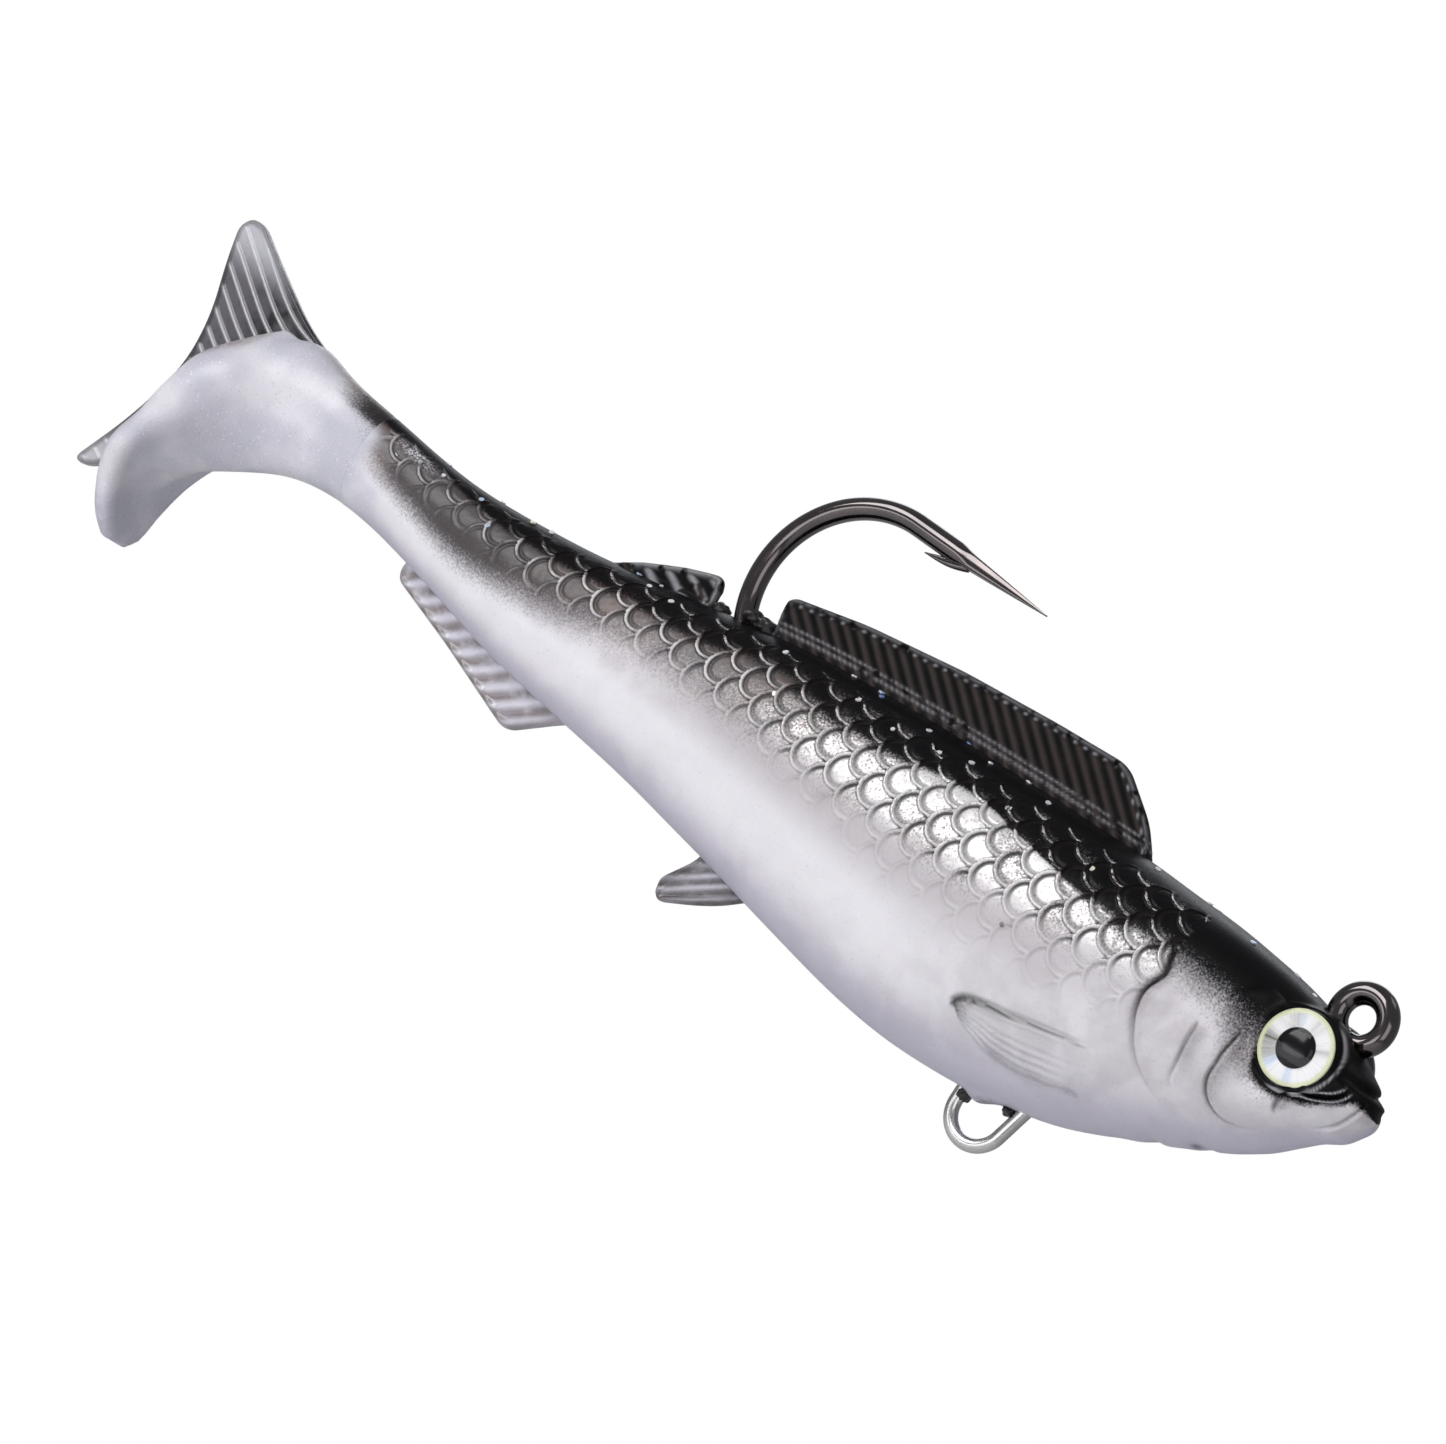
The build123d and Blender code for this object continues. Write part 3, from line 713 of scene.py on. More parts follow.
def skin_paint():
    """Airbrushed plastisol: pearl flank, silver scale faces, smoky band, black back, dark furrows; over it
    painted shade by the folds and painted highlights on edges and beads.
    """
    s = Shader("painted_skin")
    black, smoke, milk = s.masks("zones")
    silver, lilac, pearl_and_sheen = s.masks("pearl")
    cheek, haze, deep = s.masks("veils")
    edge, over, cover = s.masks("scales")
    tailward, downward, code = s.masks("lie")
    ink, painted_shade, painted_highlight = s.masks("marks")
    painted_glints = s.masks("patch")[0]
    spray, cloud = s.noise(0.16, 3.0), s.noise(2.5, 3.0)
    drift = cloud.ramp(0.35, 0.65)
    grit = spray * 0.65 + s.noise(0.07) * 0.35
    speckle = (grit - 0.5) * 1.7
    own_tone = (code - 0.5) * 0.12

    broken = deep * s.noise(1.3).ramp(0.44, 0.56, 1.0, 0.0) * 0.85
    crest = edge.ramp(0.24, 0.15) * cover * (1.0 - broken)
    furrow = edge.ramp(0.18, 0.30) * edge.ramp(0.62, 0.40) * cover
    shadow = over.ramp(0.13, 0.05) * cover

    colour = s.mix(drift, srgb(208, 203, 207), srgb(232, 228, 232))
    colour = s.coat(colour, lilac, 208, 205, 220)
    # The paler band: partly pearl paint, partly a painted sheen
    colour = s.coat(colour, pearl_and_sheen * 0.8, 247, 246, 250)
    # The grey haze of the low rows, and silver faces, each a little different
    colour = s.coat(colour, haze * cloud.ramp(0.3, 0.7, 0.35, 0.85), 180, 173, 175)
    patchy = (grit + own_tone).ramp(0.47, 0.66)
    colour = s.mix(silver * 0.9, colour, s.mix(patchy, srgb(238, 236, 235), srgb(150, 141, 138)))
    # Airbrushed coats with speckled edges
    smoky = s.mix(drift, srgb(66, 58, 59), srgb(98, 80, 72))
    smoky = s.coat(smoky, deep, 48, 40, 40)
    smoky = s.coat(smoky, grit.ramp(0.54, 0.68, 0.0, 0.25), 150, 142, 142)
    colour = s.mix((smoke + speckle * 0.7).ramp(0.05, 0.95, 0.0, 0.95), colour, smoky)
    colour = s.coat(colour, (cheek + speckle).ramp(0.1, 1.1, 0.0, 0.9), 84, 74, 74)
    # Painted shade by the gill cover, the creases, the lip fold and the pectoral fin
    colour = s.coat(colour, painted_shade * grit.ramp(0.3, 0.7, 0.5, 1.0), 72, 62, 62)
    # The spray catches each scale differently, its upper half the most
    by_scale = own_tone * 3.0 - downward * 0.3
    black_coat = (black + by_scale * cover + speckle * 0.7).ramp(0.1, 0.85)
    colour = s.coat(colour, black_coat, 7, 6, 8)
    # Dark furrows inside each free edge; the edge itself gets a painted highlight where it faces the light,
    # and painted glints on the black
    reach = (silver + smoke).ramp(0.15, 0.7, 0.12, 0.95)
    colour = s.coat(colour, furrow * reach * downward.ramp(0.9, -0.3, 0.45, 1.0), 26, 20, 19)
    colour = s.coat(colour, shadow * reach * 0.6, 50, 42, 40)
    dark = (smoke * silver.ramp(0.6, 0.1)).most(black_coat)
    toward_light = (downward * 0.6 + tailward).ramp(0.2, 1.0, 0.25, 1.0)
    glint = downward.ramp(0.45, 0.62) * downward.ramp(0.92, 0.8) * spray.ramp(0.40, 0.55)
    in_black = glint.most(toward_light * black.ramp(0.95, 0.3, 0.0, 0.45))
    edge_highlight = black_coat * in_black + (1.0 - black_coat) * toward_light
    colour = s.coat(colour, crest * edge_highlight * dark.ramp(0.1, 0.6, 0.5, 0.95), 226, 223, 224)
    # Painted glints high on the wrist
    colour = s.coat(colour, painted_glints * grit.ramp(0.46, 0.56), 222, 221, 226)
    colour = s.mix(milk, colour, milky_colour(s))
    colour = s.coat(colour, ink, 14, 12, 12)
    # Painted highlights on the lip beads, the pectoral's bead and the bead round the eye
    colour = s.coat(colour, painted_highlight, 206, 204, 208)
    # Odd dark flecks that drifted onto the belly
    flecks = s.value("TexVoronoi", {"Vector": s.attribute("rest"), "Scale": 1 / (7.0 * MM)}, "Distance")
    colour = s.coat(colour, flecks.ramp(0.036, 0.020) * 0.75, 66, 58, 62)
    return s.principled(
        Base_Color=colour,
        Metallic=silver * patchy.ramp(1.0, 0.0) * black_coat.most(furrow).ramp(0.6, 0.0) * 0.45,
        Roughness=grit.ramp(0.35, 0.65, 0.34, 0.50),
        Specular_IOR_Level=black_coat.ramp(0.0, 1.0, 0.5, 0.14),
        Normal=s.bump(grit, 0.22, 0.05),
        Coat_Weight=black_coat.ramp(0.0, 1.0, 0.14, 0.03),
        Coat_Roughness=0.15,
        Subsurface_Weight=0.1,
        Subsurface_Scale=1.0 * MM,
    )


# ---------------------------------------------------------------- the clear tail

# Paddle sections from top to bottom: z, middle x, half thickness, half width
PADDLE = [
    (0.0, -98.7, 0.7, 0.7),
    (-1.3, -99.3, 1.2, 2.0),
    (-5.0, -100.8, 1.3, 3.6),
    (-9.5, -102.0, 1.25, 4.9),
    (-13.0, -103.4, 1.15, 5.1),
    (-15.5, -103.3, 1.05, 4.3),
    (-17.3, -102.8, 0.95, 3.4),
    (-18.6, -102.3, 0.85, 2.4),
    (-19.4, -102.0, 0.65, 1.2),
]
TAIL_CELL = 0.25  # the lattice that the tail's surface is drawn from


def blended(first, second, reach):
    """Two distance fields joined with a fillet about that wide."""
    near = np.clip(reach - np.abs(first - second), 0, None) / reach
    return np.minimum(first, second) - near**2 * reach / 4


def paddle_rim():
    """The outline of half the paddle seen from behind: y and z round from its top to its bottom."""
    rows = np.array(PADDLE)[::-1]
    level = np.linspace(rows[0, 0], rows[-1, 0], 120)
    half = np.clip(cubic(rows[:, 0], rows[:, 3])(level), 0, None)
    return np.concatenate([[0], half, [0]]), np.concatenate([level[:1], level, level[-1:]])


def spoon_distance(x, y, z):
    """Distance from the cupped plate of the paddle."""
    rows = np.array(PADDLE)[::-1]
    middle, thick = [cubic(rows[:, 0], rows[:, k]) for k in (1, 2)]
    rim_y, rim_z = paddle_rim()
    across, up = y[0, :, 0], z[0, 0]
    apart = np.hypot(rim_y - np.abs(across)[:, None, None], rim_z - up[:, None]).min(-1)
    inside = np.abs(across)[:, None] < np.interp(up, rim_z[1:-1], rim_y[1:-1], 0, 0)
    plan = np.where(inside, -apart, apart)[None]
    held = np.clip(up, rows[0, 0], rows[-1, 0])
    thickness = np.clip(thick(held), 0.5, None)[None, None]
    offset = x - middle(held) - 0.02 * y**2
    return np.hypot(np.clip(plan + thickness, 0, None), offset) - thickness


def wrist_distance(x, y, z):
    """Distance from the wrist, which ends inside the paddle."""
    top, bottom, half = [curve(x[:, :1, :1]) for curve in (TOP, BOTTOM, HALF)]
    widest = bottom + WIDEST_AT * (top - bottom)
    reach = np.where(z > widest, top - widest, widest - bottom)
    scaled = np.hypot(y / half, (z - widest) / reach) + 1e-9
    slope = np.hypot(y / half**2, (z - widest) / reach**2) + 1e-9
    side = scaled * (scaled - 1) / slope + 0.03 * step(-88.2, -87.0, x)
    return np.maximum(side, np.maximum(x + 84.0, -100.5 - x))


def net(field, low, cell):
    """A closed mesh where a lattice field crosses zero, with one vertex in each crossed cell."""
    size = np.array(field.shape) - 1
    spots = [(i, j, k) for i in (0, 1) for j in (0, 1) for k in (0, 1)]
    corner = [field[i : i + size[0], j : j + size[1], k : k + size[2]] for i, j, k in spots]
    place = np.array(spots, float)
    total, count = np.zeros((*size, 3)), np.zeros(size)
    for a in range(8):
        for b in range(a + 1, 8):
            if np.abs(place[a] - place[b]).sum() == 1:
                crossed = (corner[a] < 0) != (corner[b] < 0)
                share = np.where(crossed, corner[a] / np.where(crossed, corner[a] - corner[b], 1), 0)
                total += crossed[..., None] * (place[a] + share[..., None] * (place[b] - place[a]))
                count += crossed
    used = count > 0
    number = np.full(size, -1)
    number[used] = np.arange(used.sum())
    points = low + cell * (np.argwhere(used) + total[used] / count[used][:, None])
    faces = []
    for axis in range(3):
        ahead = np.roll(np.arange(3), -axis)
        turned_field, turned_number = field.transpose(ahead), number.transpose(ahead)
        a, b = turned_field[:-1, 1:-1, 1:-1], turned_field[1:, 1:-1, 1:-1]
        i, j, k = np.argwhere((a < 0) != (b < 0)).T
        faces += quads(*[turned_number[i, j + u, k + v] for u, v in ((0, 0), (1, 0), (1, 1), (0, 1))])
    return points, faces


def tail_skin():
    """The wrist and the spoon, run together with wide fillets."""
    cell = TAIL_CELL * 1.0
    low, high = np.array([-106.0, -8.0, -22.0]), np.array([-83.0, 8.0, 2.5])
    axes = [np.arange(a, b, cell) for a, b in zip(low, high)]
    x, y, z = np.meshgrid(*axes, indexing="ij")
    fillet = 1.0 + (4.5 - 2.0 * step(-8.0, -12.0, z)) * step(-0.5, -6.0, z)
    field = blended(wrist_distance(x, y, z), spoon_distance(x, y, z), fillet)
    tail = make_mesh("tail_skin", *net(field, low, cell))
    places = np.array([v.co for v in tail.data.vertices]) / MM
    x, middle, z = places[:, 0], np.abs(places[:, 1]), places[:, 2]
    below = z - TOP(np.clip(x, -97, -80))
    top = hump(below, 0.4 + 1.1 * step(-94, -88, x)) * step(2.6, 1.4, middle) * step(-98.5, -97.5, x)
    crown = step(-94.0, -87.4, x) * step(-2.0, -0.9, below)
    veil = 0.45 * step(-92.0, -86.8, x) * step(-4.2, -1.4, below)
    rim_y, rim_z = paddle_rim()
    apart = np.hypot(rim_y - middle[:, None], rim_z - z[:, None]).min(1)
    rim = hump(apart, 0.45) * step(-9.0, -3.0, z) * step(-98.9, -99.9, x)
    brown = np.clip(top * step(-99, -88, x) + 0.8 * rim, 0, 1)
    store(tail, "marks", brown, np.maximum(crown, veil))
    bend_with_kick(tail)
    finished(tail, milky_flesh(), "soft_tail", "tail_stalk", "tail_paddle")


def bend_with_kick(thing):
    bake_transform(thing)


def milky_colour(s):
    """Cloudy lilac plastisol with fine glitter in it."""
    fine = s.noise(0.16, 1.0)
    colour = s.mix(s.noise(4.5).ramp(0.35, 0.68), srgb(204, 203, 214), srgb(230, 228, 234))
    colour = s.coat(colour, fine.ramp(0.66, 0.72, 0.0, 0.7), 248, 248, 253)
    return s.coat(colour, fine.ramp(0.34, 0.28, 0.0, 0.3), 158, 152, 162)


def milky_flesh():
    """The clear flesh of the tail, with a little of the back's brown along its ridge."""
    s = Shader("milky_flesh")
    brown, dark = s.masks("marks")[:2]
    patch = s.noise(0.5, 3.0)
    colour = s.coat(milky_colour(s), brown * patch.ramp(0.3, 0.6, 0.45, 0.95), 140, 128, 122)
    dusting = dark + (s.noise(0.16, 3.0) - 0.5)
    return s.principled(
        Base_Color=s.coat(colour, dusting.ramp(0.12, 0.95), 30, 26, 27),
        Roughness=s.noise(0.16, 1.0).ramp(0.4, 0.7, 0.46, 0.34),
        Coat_Weight=0.12,
        Coat_Roughness=0.15,
        Subsurface_Weight=0.1,
        Subsurface_Scale=1.0 * MM,
        Normal=s.bump(patch, 0.15, 0.05),
    )


# ---------------------------------------------------------------- fins


def rounded(corners, radius, count):
    """Evenly spaced points along straight runs whose corners are rounded off by up to that radius."""
    corners = np.asarray(corners, float)
    pieces = [corners[:1]]
    for before, here, after in zip(corners, corners[1:], corners[2:]):
        back, on = before - here, after - here
        cut = min(radius, 0.48 * np.linalg.norm(back), 0.48 * np.linalg.norm(on))
        start, end = here + unit(back) * cut, here + unit(on) * cut
        t = np.linspace(0, 1, 12)[:, None]
        pieces.append((1 - t) ** 2 * start + 2 * t * (1 - t) * here + t**2 * end)
    return evenly(np.concatenate([*pieces, corners[-1:]]), count)


def fin_mesh(name, foot, edge, columns, rows, thickness, corner=1.0):
    """A closed two-sided fin between a foot buried in the flesh and a free edge.

    thickness(points, to_edge, share) gives the half thickness in millimetres and masks for the paint.
    """
    foot, edge = rounded(foot, 3.0, columns), rounded(edge, corner, columns)
    share = 1 - (1 - np.linspace(0, 1, rows)) ** 1.5
    plan = foot[None] * (1 - share[:, None, None]) + edge[None] * share[:, None, None]
    flat = np.stack([plan[..., 0], np.zeros(plan.shape[:2]), plan[..., 1]], -1)
    to_edge = np.abs(distance_to(flat, flat[-1], 40.0)[0])
    half, marks = thickness(flat, to_edge, share[:, None] * np.ones(columns))
    rounding = np.clip(to_edge / 0.22, 0, 1)
    half = half * np.sqrt(1 - (1 - rounding) ** 2) + 0.02
    half[-1] = 0
    left, right = flat.copy(), flat.copy()
    left[..., 1], right[..., 1] = half, -half
    # The two sides share the points of the free edge
    a = np.arange(rows * columns).reshape(rows, columns)
    b = a + rows * columns
    b[-1] = a[-1]
    faces = quads(a[:-1, :-1], a[:-1, 1:], a[1:, 1:], a[1:, :-1])
    faces += quads(b[:-1, :-1], b[1:, :-1], b[1:, 1:], b[:-1, 1:])
    faces += quads(a[:-1, 0], a[1:, 0], b[1:, 0], b[:-1, 0])
    faces += quads(b[:-1, -1], b[1:, -1], a[1:, -1], a[:-1, -1])
    faces += quads(a[0, 1:], a[0, :-1], b[0, :-1], b[0, 1:])
    faces = [tuple(dict.fromkeys(face)) for face in faces]
    fin = make_mesh(name, np.concatenate([left.reshape(-1, 3), right[:-1].reshape(-1, 3)]), faces)
    store(fin, "marks", *[np.concatenate([m.ravel(), m[:-1].ravel()]) for m in marks])
    return fin


def ridge(value, pitch, sharp=1.0):
    """Repeated rounded ridges, 1 on each crest and 0 between."""
    return (0.5 + 0.5 * np.cos(2 * math.pi * value / pitch)) ** sharp


def raked(points, lean):
    """Distance across rays that lean by that unit direction in the side view."""
    return points[..., 0] * lean[1] - points[..., 2] * lean[0]


def above_back(points):
    return points[..., 2] - TOP(points[..., 0])


def above_belly(points):
    return points[..., 2] - BOTTOM(points[..., 0])


def dorsal_front():
    lean = unit(np.array([-0.776, 0.634]))

    def thickness(points, to_edge, share):
        ray = ridge(raked(points, lean), 0.86, 1.5)
        rim = hump(to_edge - 0.2, 0.14)
        beads = hump(to_edge - 0.5, 0.10) * ridge(points[..., 0], 0.86, 3)
        foot = above_back(points)
        links = ridge(points[..., 0] + 0.8 * foot, 0.46, 2)
        braid = (hump(foot - 0.5, 0.12) + hump(foot - 0.95, 0.10)) * (0.35 + 0.65 * links)
        half = 0.24 + 0.09 * ray + 0.14 * rim + 0.08 * beads + 0.16 * braid + 0.25 * step(0.5, -0.2, foot)
        return half, (ray * step(0.3, 0.8, to_edge), np.clip(0.5 * rim + beads, 0, 1), np.clip(braid, 0, 1))

    edge = [(-51.9, -1.6), (-52.95, 3.35), (-46.5, 4.5), (-38.4, 5.35), (-30.5, 5.75), (-24.2, 5.9)]
    edge += [(-20.6, 3.35), (-19.0, 1.45), (-18.7, 0.0)]
    foot = [(-50.6, -1.6), (-44.0, -1.0), (-35.0, -0.6), (-26.0, -0.6), (-20.4, -0.8)]
    fin = fin_mesh("dorsal_fin_front_skin", foot, edge, 420, 60, thickness)
    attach(fin, "root")
    finished(fin, dark_fin(), "fin_dark", "dorsal_fin_front")


def dorsal_rear():
    lean = unit(np.array([-0.909, 0.418]))

    def thickness(points, to_edge, share):
        ray = ridge(raked(points, lean), 1.22, 4)
        rim = hump(to_edge - 0.2, 0.2)
        half = 0.24 + 0.14 * ray + 0.15 * rim + 0.25 * step(0.4, -0.2, above_back(points))
        return half, (ray, rim, np.clip(1.7 * ray, 0, 1) * step(0.3, 0.6, to_edge))

    edge = [(-67.6, -2.2), (-64.3, -0.2), (-60.9, 1.2), (-57.8, 2.1), (-57.3, -1.6)]
    foot = [(-66.6, -3.0), (-62, -2.4), (-58, -2.0)]
    fin = fin_mesh("dorsal_fin_rear_skin", foot, edge, 200, 36, thickness)
    bend_with_sweep(fin)
    finished(fin, dark_fin(), "fin_dark", "dorsal_fin_rear")


def bend_with_sweep(thing):
    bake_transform(thing)


UNDER_LEAN = unit(np.array([-0.839, -0.545]))


def anal_fin():
    def thickness(points, to_edge, share):
        ray = ridge(raked(points, UNDER_LEAN), 1.32, 1.2)
        rim = hump(to_edge - 0.25, 0.22)
        half = 0.22 + 0.12 * ray + 0.12 * rim + 0.25 * step(-0.8, 0.2, above_belly(points))
        return half, (ray, rim)

    edge = [(-79.6, -7.6), (-80.4, -10.3), (-74.0, -12.35), (-66.1, -15.2), (-62.1, -12.3), (-61.4, -11.6)]
    foot = [(-78.4, -7.4), (-72.0, -9.4), (-66.0, -10.6), (-62.6, -11.2)]
    fin = fin_mesh("anal_fin_skin", foot, edge, 280, 44, thickness)
    bend_with_sweep(fin)
    striped = clear_fin("striped_fin", srgb(212, 210, 220), srgb(112, 100, 98), 0.85)
    finished(fin, striped, "fin_clear", "anal_fin")


def pelvic_fin():
    def thickness(points, to_edge, share):
        ray = ridge(raked(points, UNDER_LEAN), 0.8, 1.2)
        rim = hump(to_edge - 0.2, 0.2)
        half = 0.22 + 0.10 * ray + 0.12 * rim + 0.2 * step(0.0, 1.0, above_belly(points))
        return half, (ray, np.clip(rim * 1.6 + step(1.6, 0.2, to_edge), 0, 1))

    edge = [(-47.2, -13.4), (-47.9, -15.6), (-49.5, -17.7), (-48.9, -19.2), (-46.0, -17.9), (-44.4, -17.0)]
    edge += [(-42.8, -15.8), (-42.2, -15.0)]
    foot = [(-46.6, -13.6), (-44.6, -14.2), (-43.0, -14.6)]
    fin = fin_mesh("pelvic_fin_skin", foot, edge, 160, 40, thickness)
    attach(fin, "root")
    smoky = clear_fin("smoky_fin", srgb(196, 194, 202), srgb(70, 62, 64), 0.9)
    finished(fin, smoky, "fin_clear", "pelvic_fin")


def caudal_fin():
    lead = through([(-91.5, -1.2), (-92.5, -0.35), (-97.5, 1.0), (-102.4, 3.6), (-106, 6.0)])
    lead = np.insert(lead, 1, 0, axis=1)

    def thickness(points, to_edge, share):
        from_lead = np.abs(distance_to(points, lead, 40.0)[0])
        ray = ridge(from_lead - 0.5, 1.04, 8)
        rim = hump(to_edge - 0.2, 0.2)
        half = 0.20 + 0.13 * ray * step(0.2, 0.6, to_edge) + 0.13 * rim + 0.2 * step(0.5, 0.0, share)
        return half, (ray * step(0.25, 0.6, to_edge), rim)

    edge = [(-91.8, -1.4), (-93.0, -0.3), (-97.5, 1.0), (-102.4, 3.7), (-105.6, 5.6), (-106.9, 5.6)]
    edge += [(-107.5, 4.6), (-106.8, 2.0), (-105.4, -1.9), (-105.0, -5.8), (-106.2, -10.6)]
    edge += [(-108.7, -16.0), (-106.9, -15.8), (-103.0, -11.6), (-101.8, -9.5)]
    foot = [(-93.0, -2.4), (-96.5, -2.0), (-99.4, -2.6), (-100.6, -4.6), (-101.6, -7.4), (-101.8, -9.0)]
    fin = fin_mesh("caudal_fin_skin", foot, edge, 520, 90, thickness, 3.2)
    bend_with_kick(fin)
    smoked = clear_fin("smoked_fin", srgb(92, 89, 95), srgb(20, 18, 21), tips=True)
    finished(fin, smoked, "fin_clear", "caudal_fin")


def dark_fin():
    """Black plastisol, a little brown along its rays, with painted highlights on its beads."""
    s = Shader("dark_fin")
    ray, rim, braid = s.masks("marks")
    colour = s.mix(s.noise(1.5, 3.0).ramp(0.4, 0.7), srgb(9, 8, 10), srgb(21, 17, 18))
    colour = s.coat(colour, ray * 0.22, 126, 112, 108)
    patchy = s.noise(0.8, 1.0).ramp(0.30, 0.50)
    return s.principled(
        # Painted highlights on the beads along the edge and on the braid at the foot; the rear fin puts the
        # same pale coat on its rays
        Base_Color=s.coat(colour, rim.most(braid) * patchy * 0.45, 205, 205, 210),
        Roughness=s.noise(0.3).ramp(0.4, 0.6, 0.38, 0.5),
        Specular_IOR_Level=0.07,
        Normal=s.bump(s.noise(0.15), 0.12, 0.04),
    )


def clear_fin(name, pale, dark, depth=0.0, tips=False):
    """Thin clear plastisol: pale rays over darker web, and a thin dark border."""
    s = Shader(name)
    ray, rim = s.masks("marks")[:2]
    cloud = s.noise(1.2, 3.0)
    if tips:
        x, _, z = s.masks("rest")
        tip = z.ramp(1.2 * MM, 4.6 * MM).most(z.ramp(-11.0 * MM, -15.0 * MM))
        body = s.mix(x.ramp(-100.0 * MM, -105.0 * MM), dark, pale)
        colour = s.mix(cloud.ramp(0.35, 0.65, 0.0, 0.5), body, pale)
        # The clear tips painted pale: painted light of the white backdrop showing through them
        colour = s.coat(colour, tip * 0.85, 205, 204, 210)
        # Painted highlights along the raised rays
        colour = s.coat(colour, ray * 0.8, 222, 221, 226)
    else:
        colour = s.mix((1.0 - ray) * depth, pale, dark)
        colour = s.mix(cloud.ramp(0.45, 0.7, 0.0, 0.5), colour, pale)
    return s.principled(
        Base_Color=s.mix(rim * 0.55, colour, dark),
        Roughness=cloud.ramp(0.3, 0.7, 0.25, 0.4),
        Coat_Weight=0.5,
        Coat_Roughness=0.12,
        Subsurface_Weight=0.1,
        Subsurface_Scale=0.5 * MM,
        Normal=s.bump(s.noise(0.25), 0.2, 0.03),
    )


# ---------------------------------------------------------------- hook, ring and hanger

WIRE_R = 0.8
RING_R = 1.8
SHANK_Z = -3.85
BEND = (-47.9, 4.13)
BEND_R = 7.98
POINT_DROP = 3.1
POINT_LENGTH = 12.0
POINT_STARTS = 0.28  # share of the straight end where the grinding begins
BARB_AT = 0.33


def arc(centre, radius, start, end, count):
    turn = np.radians(np.linspace(start, end, count))
    return np.stack([centre[0] + radius * np.cos(turn), 0 * turn, centre[1] + radius * np.sin(turn)], 1)


def straight(start, end, count):
    share = np.linspace(0, 1, count)[:, None]
    return np.array([start[0], 0, start[1]]) * (1 - share) + np.array([end[0], 0, end[1]]) * share


def hook():
    """Black-nickel wire, its point ground to four faces, with the barb cut up from its inner side."""
    bend = arc(BEND, BEND_R, 270, 90 - POINT_DROP, 150)
    drop = math.radians(POINT_DROP)
    tip = (bend[-1, 0] + POINT_LENGTH * math.cos(drop), bend[-1, 2] - POINT_LENGTH * math.sin(drop))
    rise = straight((-1.2, -1.9), (-4.4, -3.75), 8)
    shank = straight((-5.6, SHANK_Z), (BEND[0] + 0.4, SHANK_Z), 40)
    run = straight((bend[-1, 0], bend[-1, 2]), tip, 90)[1:]
    line = np.concatenate([rise, shank, bend, run])
    along = np.concatenate([np.zeros(len(line) - len(run)), np.linspace(0, 1, len(run))])
    taper = np.clip((along - POINT_STARTS) / (1 - POINT_STARTS), 0, 1)

    def ground(turn, i):
        power = 2 - 0.75 * step(POINT_STARTS, 0.42, along[i])
        lean = turn + math.radians(38)
        return (np.abs(np.cos(lean)) ** power + np.abs(np.sin(lean)) ** power) ** (-1 / power)

    def wedge(turn, i):
        return 0.75 + 0.55 * np.abs(np.cos(turn)) ** 2

    wire = tube("hook_wire", swept(line, WIRE_R * (1 - 0.93 * taper**1.12), 48, ground))
    root = run[int(BARB_AT * len(run))]
    barb_line = through([(0.9, -0.35), (-0.5, -0.80), (-1.5, -0.98), (-2.6, -1.12)], 40)
    barb_line = root + np.insert(barb_line, 1, 0, axis=1)
    thick = 0.30 * (1 - np.linspace(0, 1, 40) ** 1.6) + 0.03
    barb = tube("hook_barb", swept(barb_line, thick, 24, wedge))
    ring = make_mesh("line_tie_ring", *torus(RING_R, WIRE_R))
    nickel = black_nickel()
    for piece, nodes in ((wire, ["hook"]), (barb, []), (ring, ["hook"])):
        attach(piece, "root")
        finished(piece, nickel, "hook_wire", *nodes)


def torus(radius, wire):
    """A wire ring round the Y axis, with a hairline where its end meets the shank."""
    around, across = 144, 40
    a, b = circle(around)[:, None], circle(across)[None]
    seam = 0.10 * hump(np.angle(np.exp(1j * (a - math.radians(262)))), 0.03)
    r = radius + (wire - seam) * np.cos(b)
    points = np.stack([r * np.cos(a), (wire - seam) * np.sin(b) + 0 * a, r * np.sin(a)], -1).reshape(-1, 3)
    return points, ring_faces(around, across, closed=True)


def hanger():
    """A loop of round wire whose rear leg stands upright; the front one leans forward."""
    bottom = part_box("belly_hanger")[0][2] / MM
    radius, leg_length, lean = 2.1, 6, 15.5
    centre = (-19.4, bottom + 2.6)
    loop = arc(centre, radius, 180, 360 - lean, 90)
    rise = math.radians(lean)
    front = (loop[-1, 0] + leg_length * math.sin(rise), loop[-1, 2] + leg_length * math.cos(rise))
    rear_x = centre[0] - radius
    rear = straight((rear_x, centre[1] + leg_length), (rear_x, centre[1]), 12)[:-1]
    leg = straight((loop[-1, 0], loop[-1, 2]), front, 12)[1:]
    line = np.concatenate([rear, loop, leg])
    wire = tube("hanger_wire", swept(line, np.full(len(line), 0.5), 32))
    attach(wire, "root")
    finished(wire, stainless(), "hanger_wire", "belly_hanger")


def black_nickel():
    s = Shader("black_nickel")
    scuff = s.noise(0.9)
    return s.principled(
        Base_Color=s.mix(s.noise(3.0).ramp(0.3, 0.7), srgb(62, 54, 55), srgb(84, 74, 72)),
        Metallic=1.0,
        Roughness=scuff.ramp(0.4, 0.8, 0.12, 0.22),
        Coat_Weight=0.7,
        Coat_IOR=2.0,
        Coat_Roughness=0.08,
        Normal=s.bump(scuff, 0.05, 0.02),
    )


def stainless():
    s = Shader("stainless_wire")
    drawn = s.noise(1.6)
    colour = s.mix(drawn, srgb(196, 195, 192), srgb(226, 225, 222))
    return s.principled(Base_Color=colour, Metallic=1.0, Roughness=drawn.ramp(0.3, 0.8, 0.20, 0.34))


# ---------------------------------------------------------------- eyes


PUPIL_R = 1.38
DOME_HEIGHT = 0.5


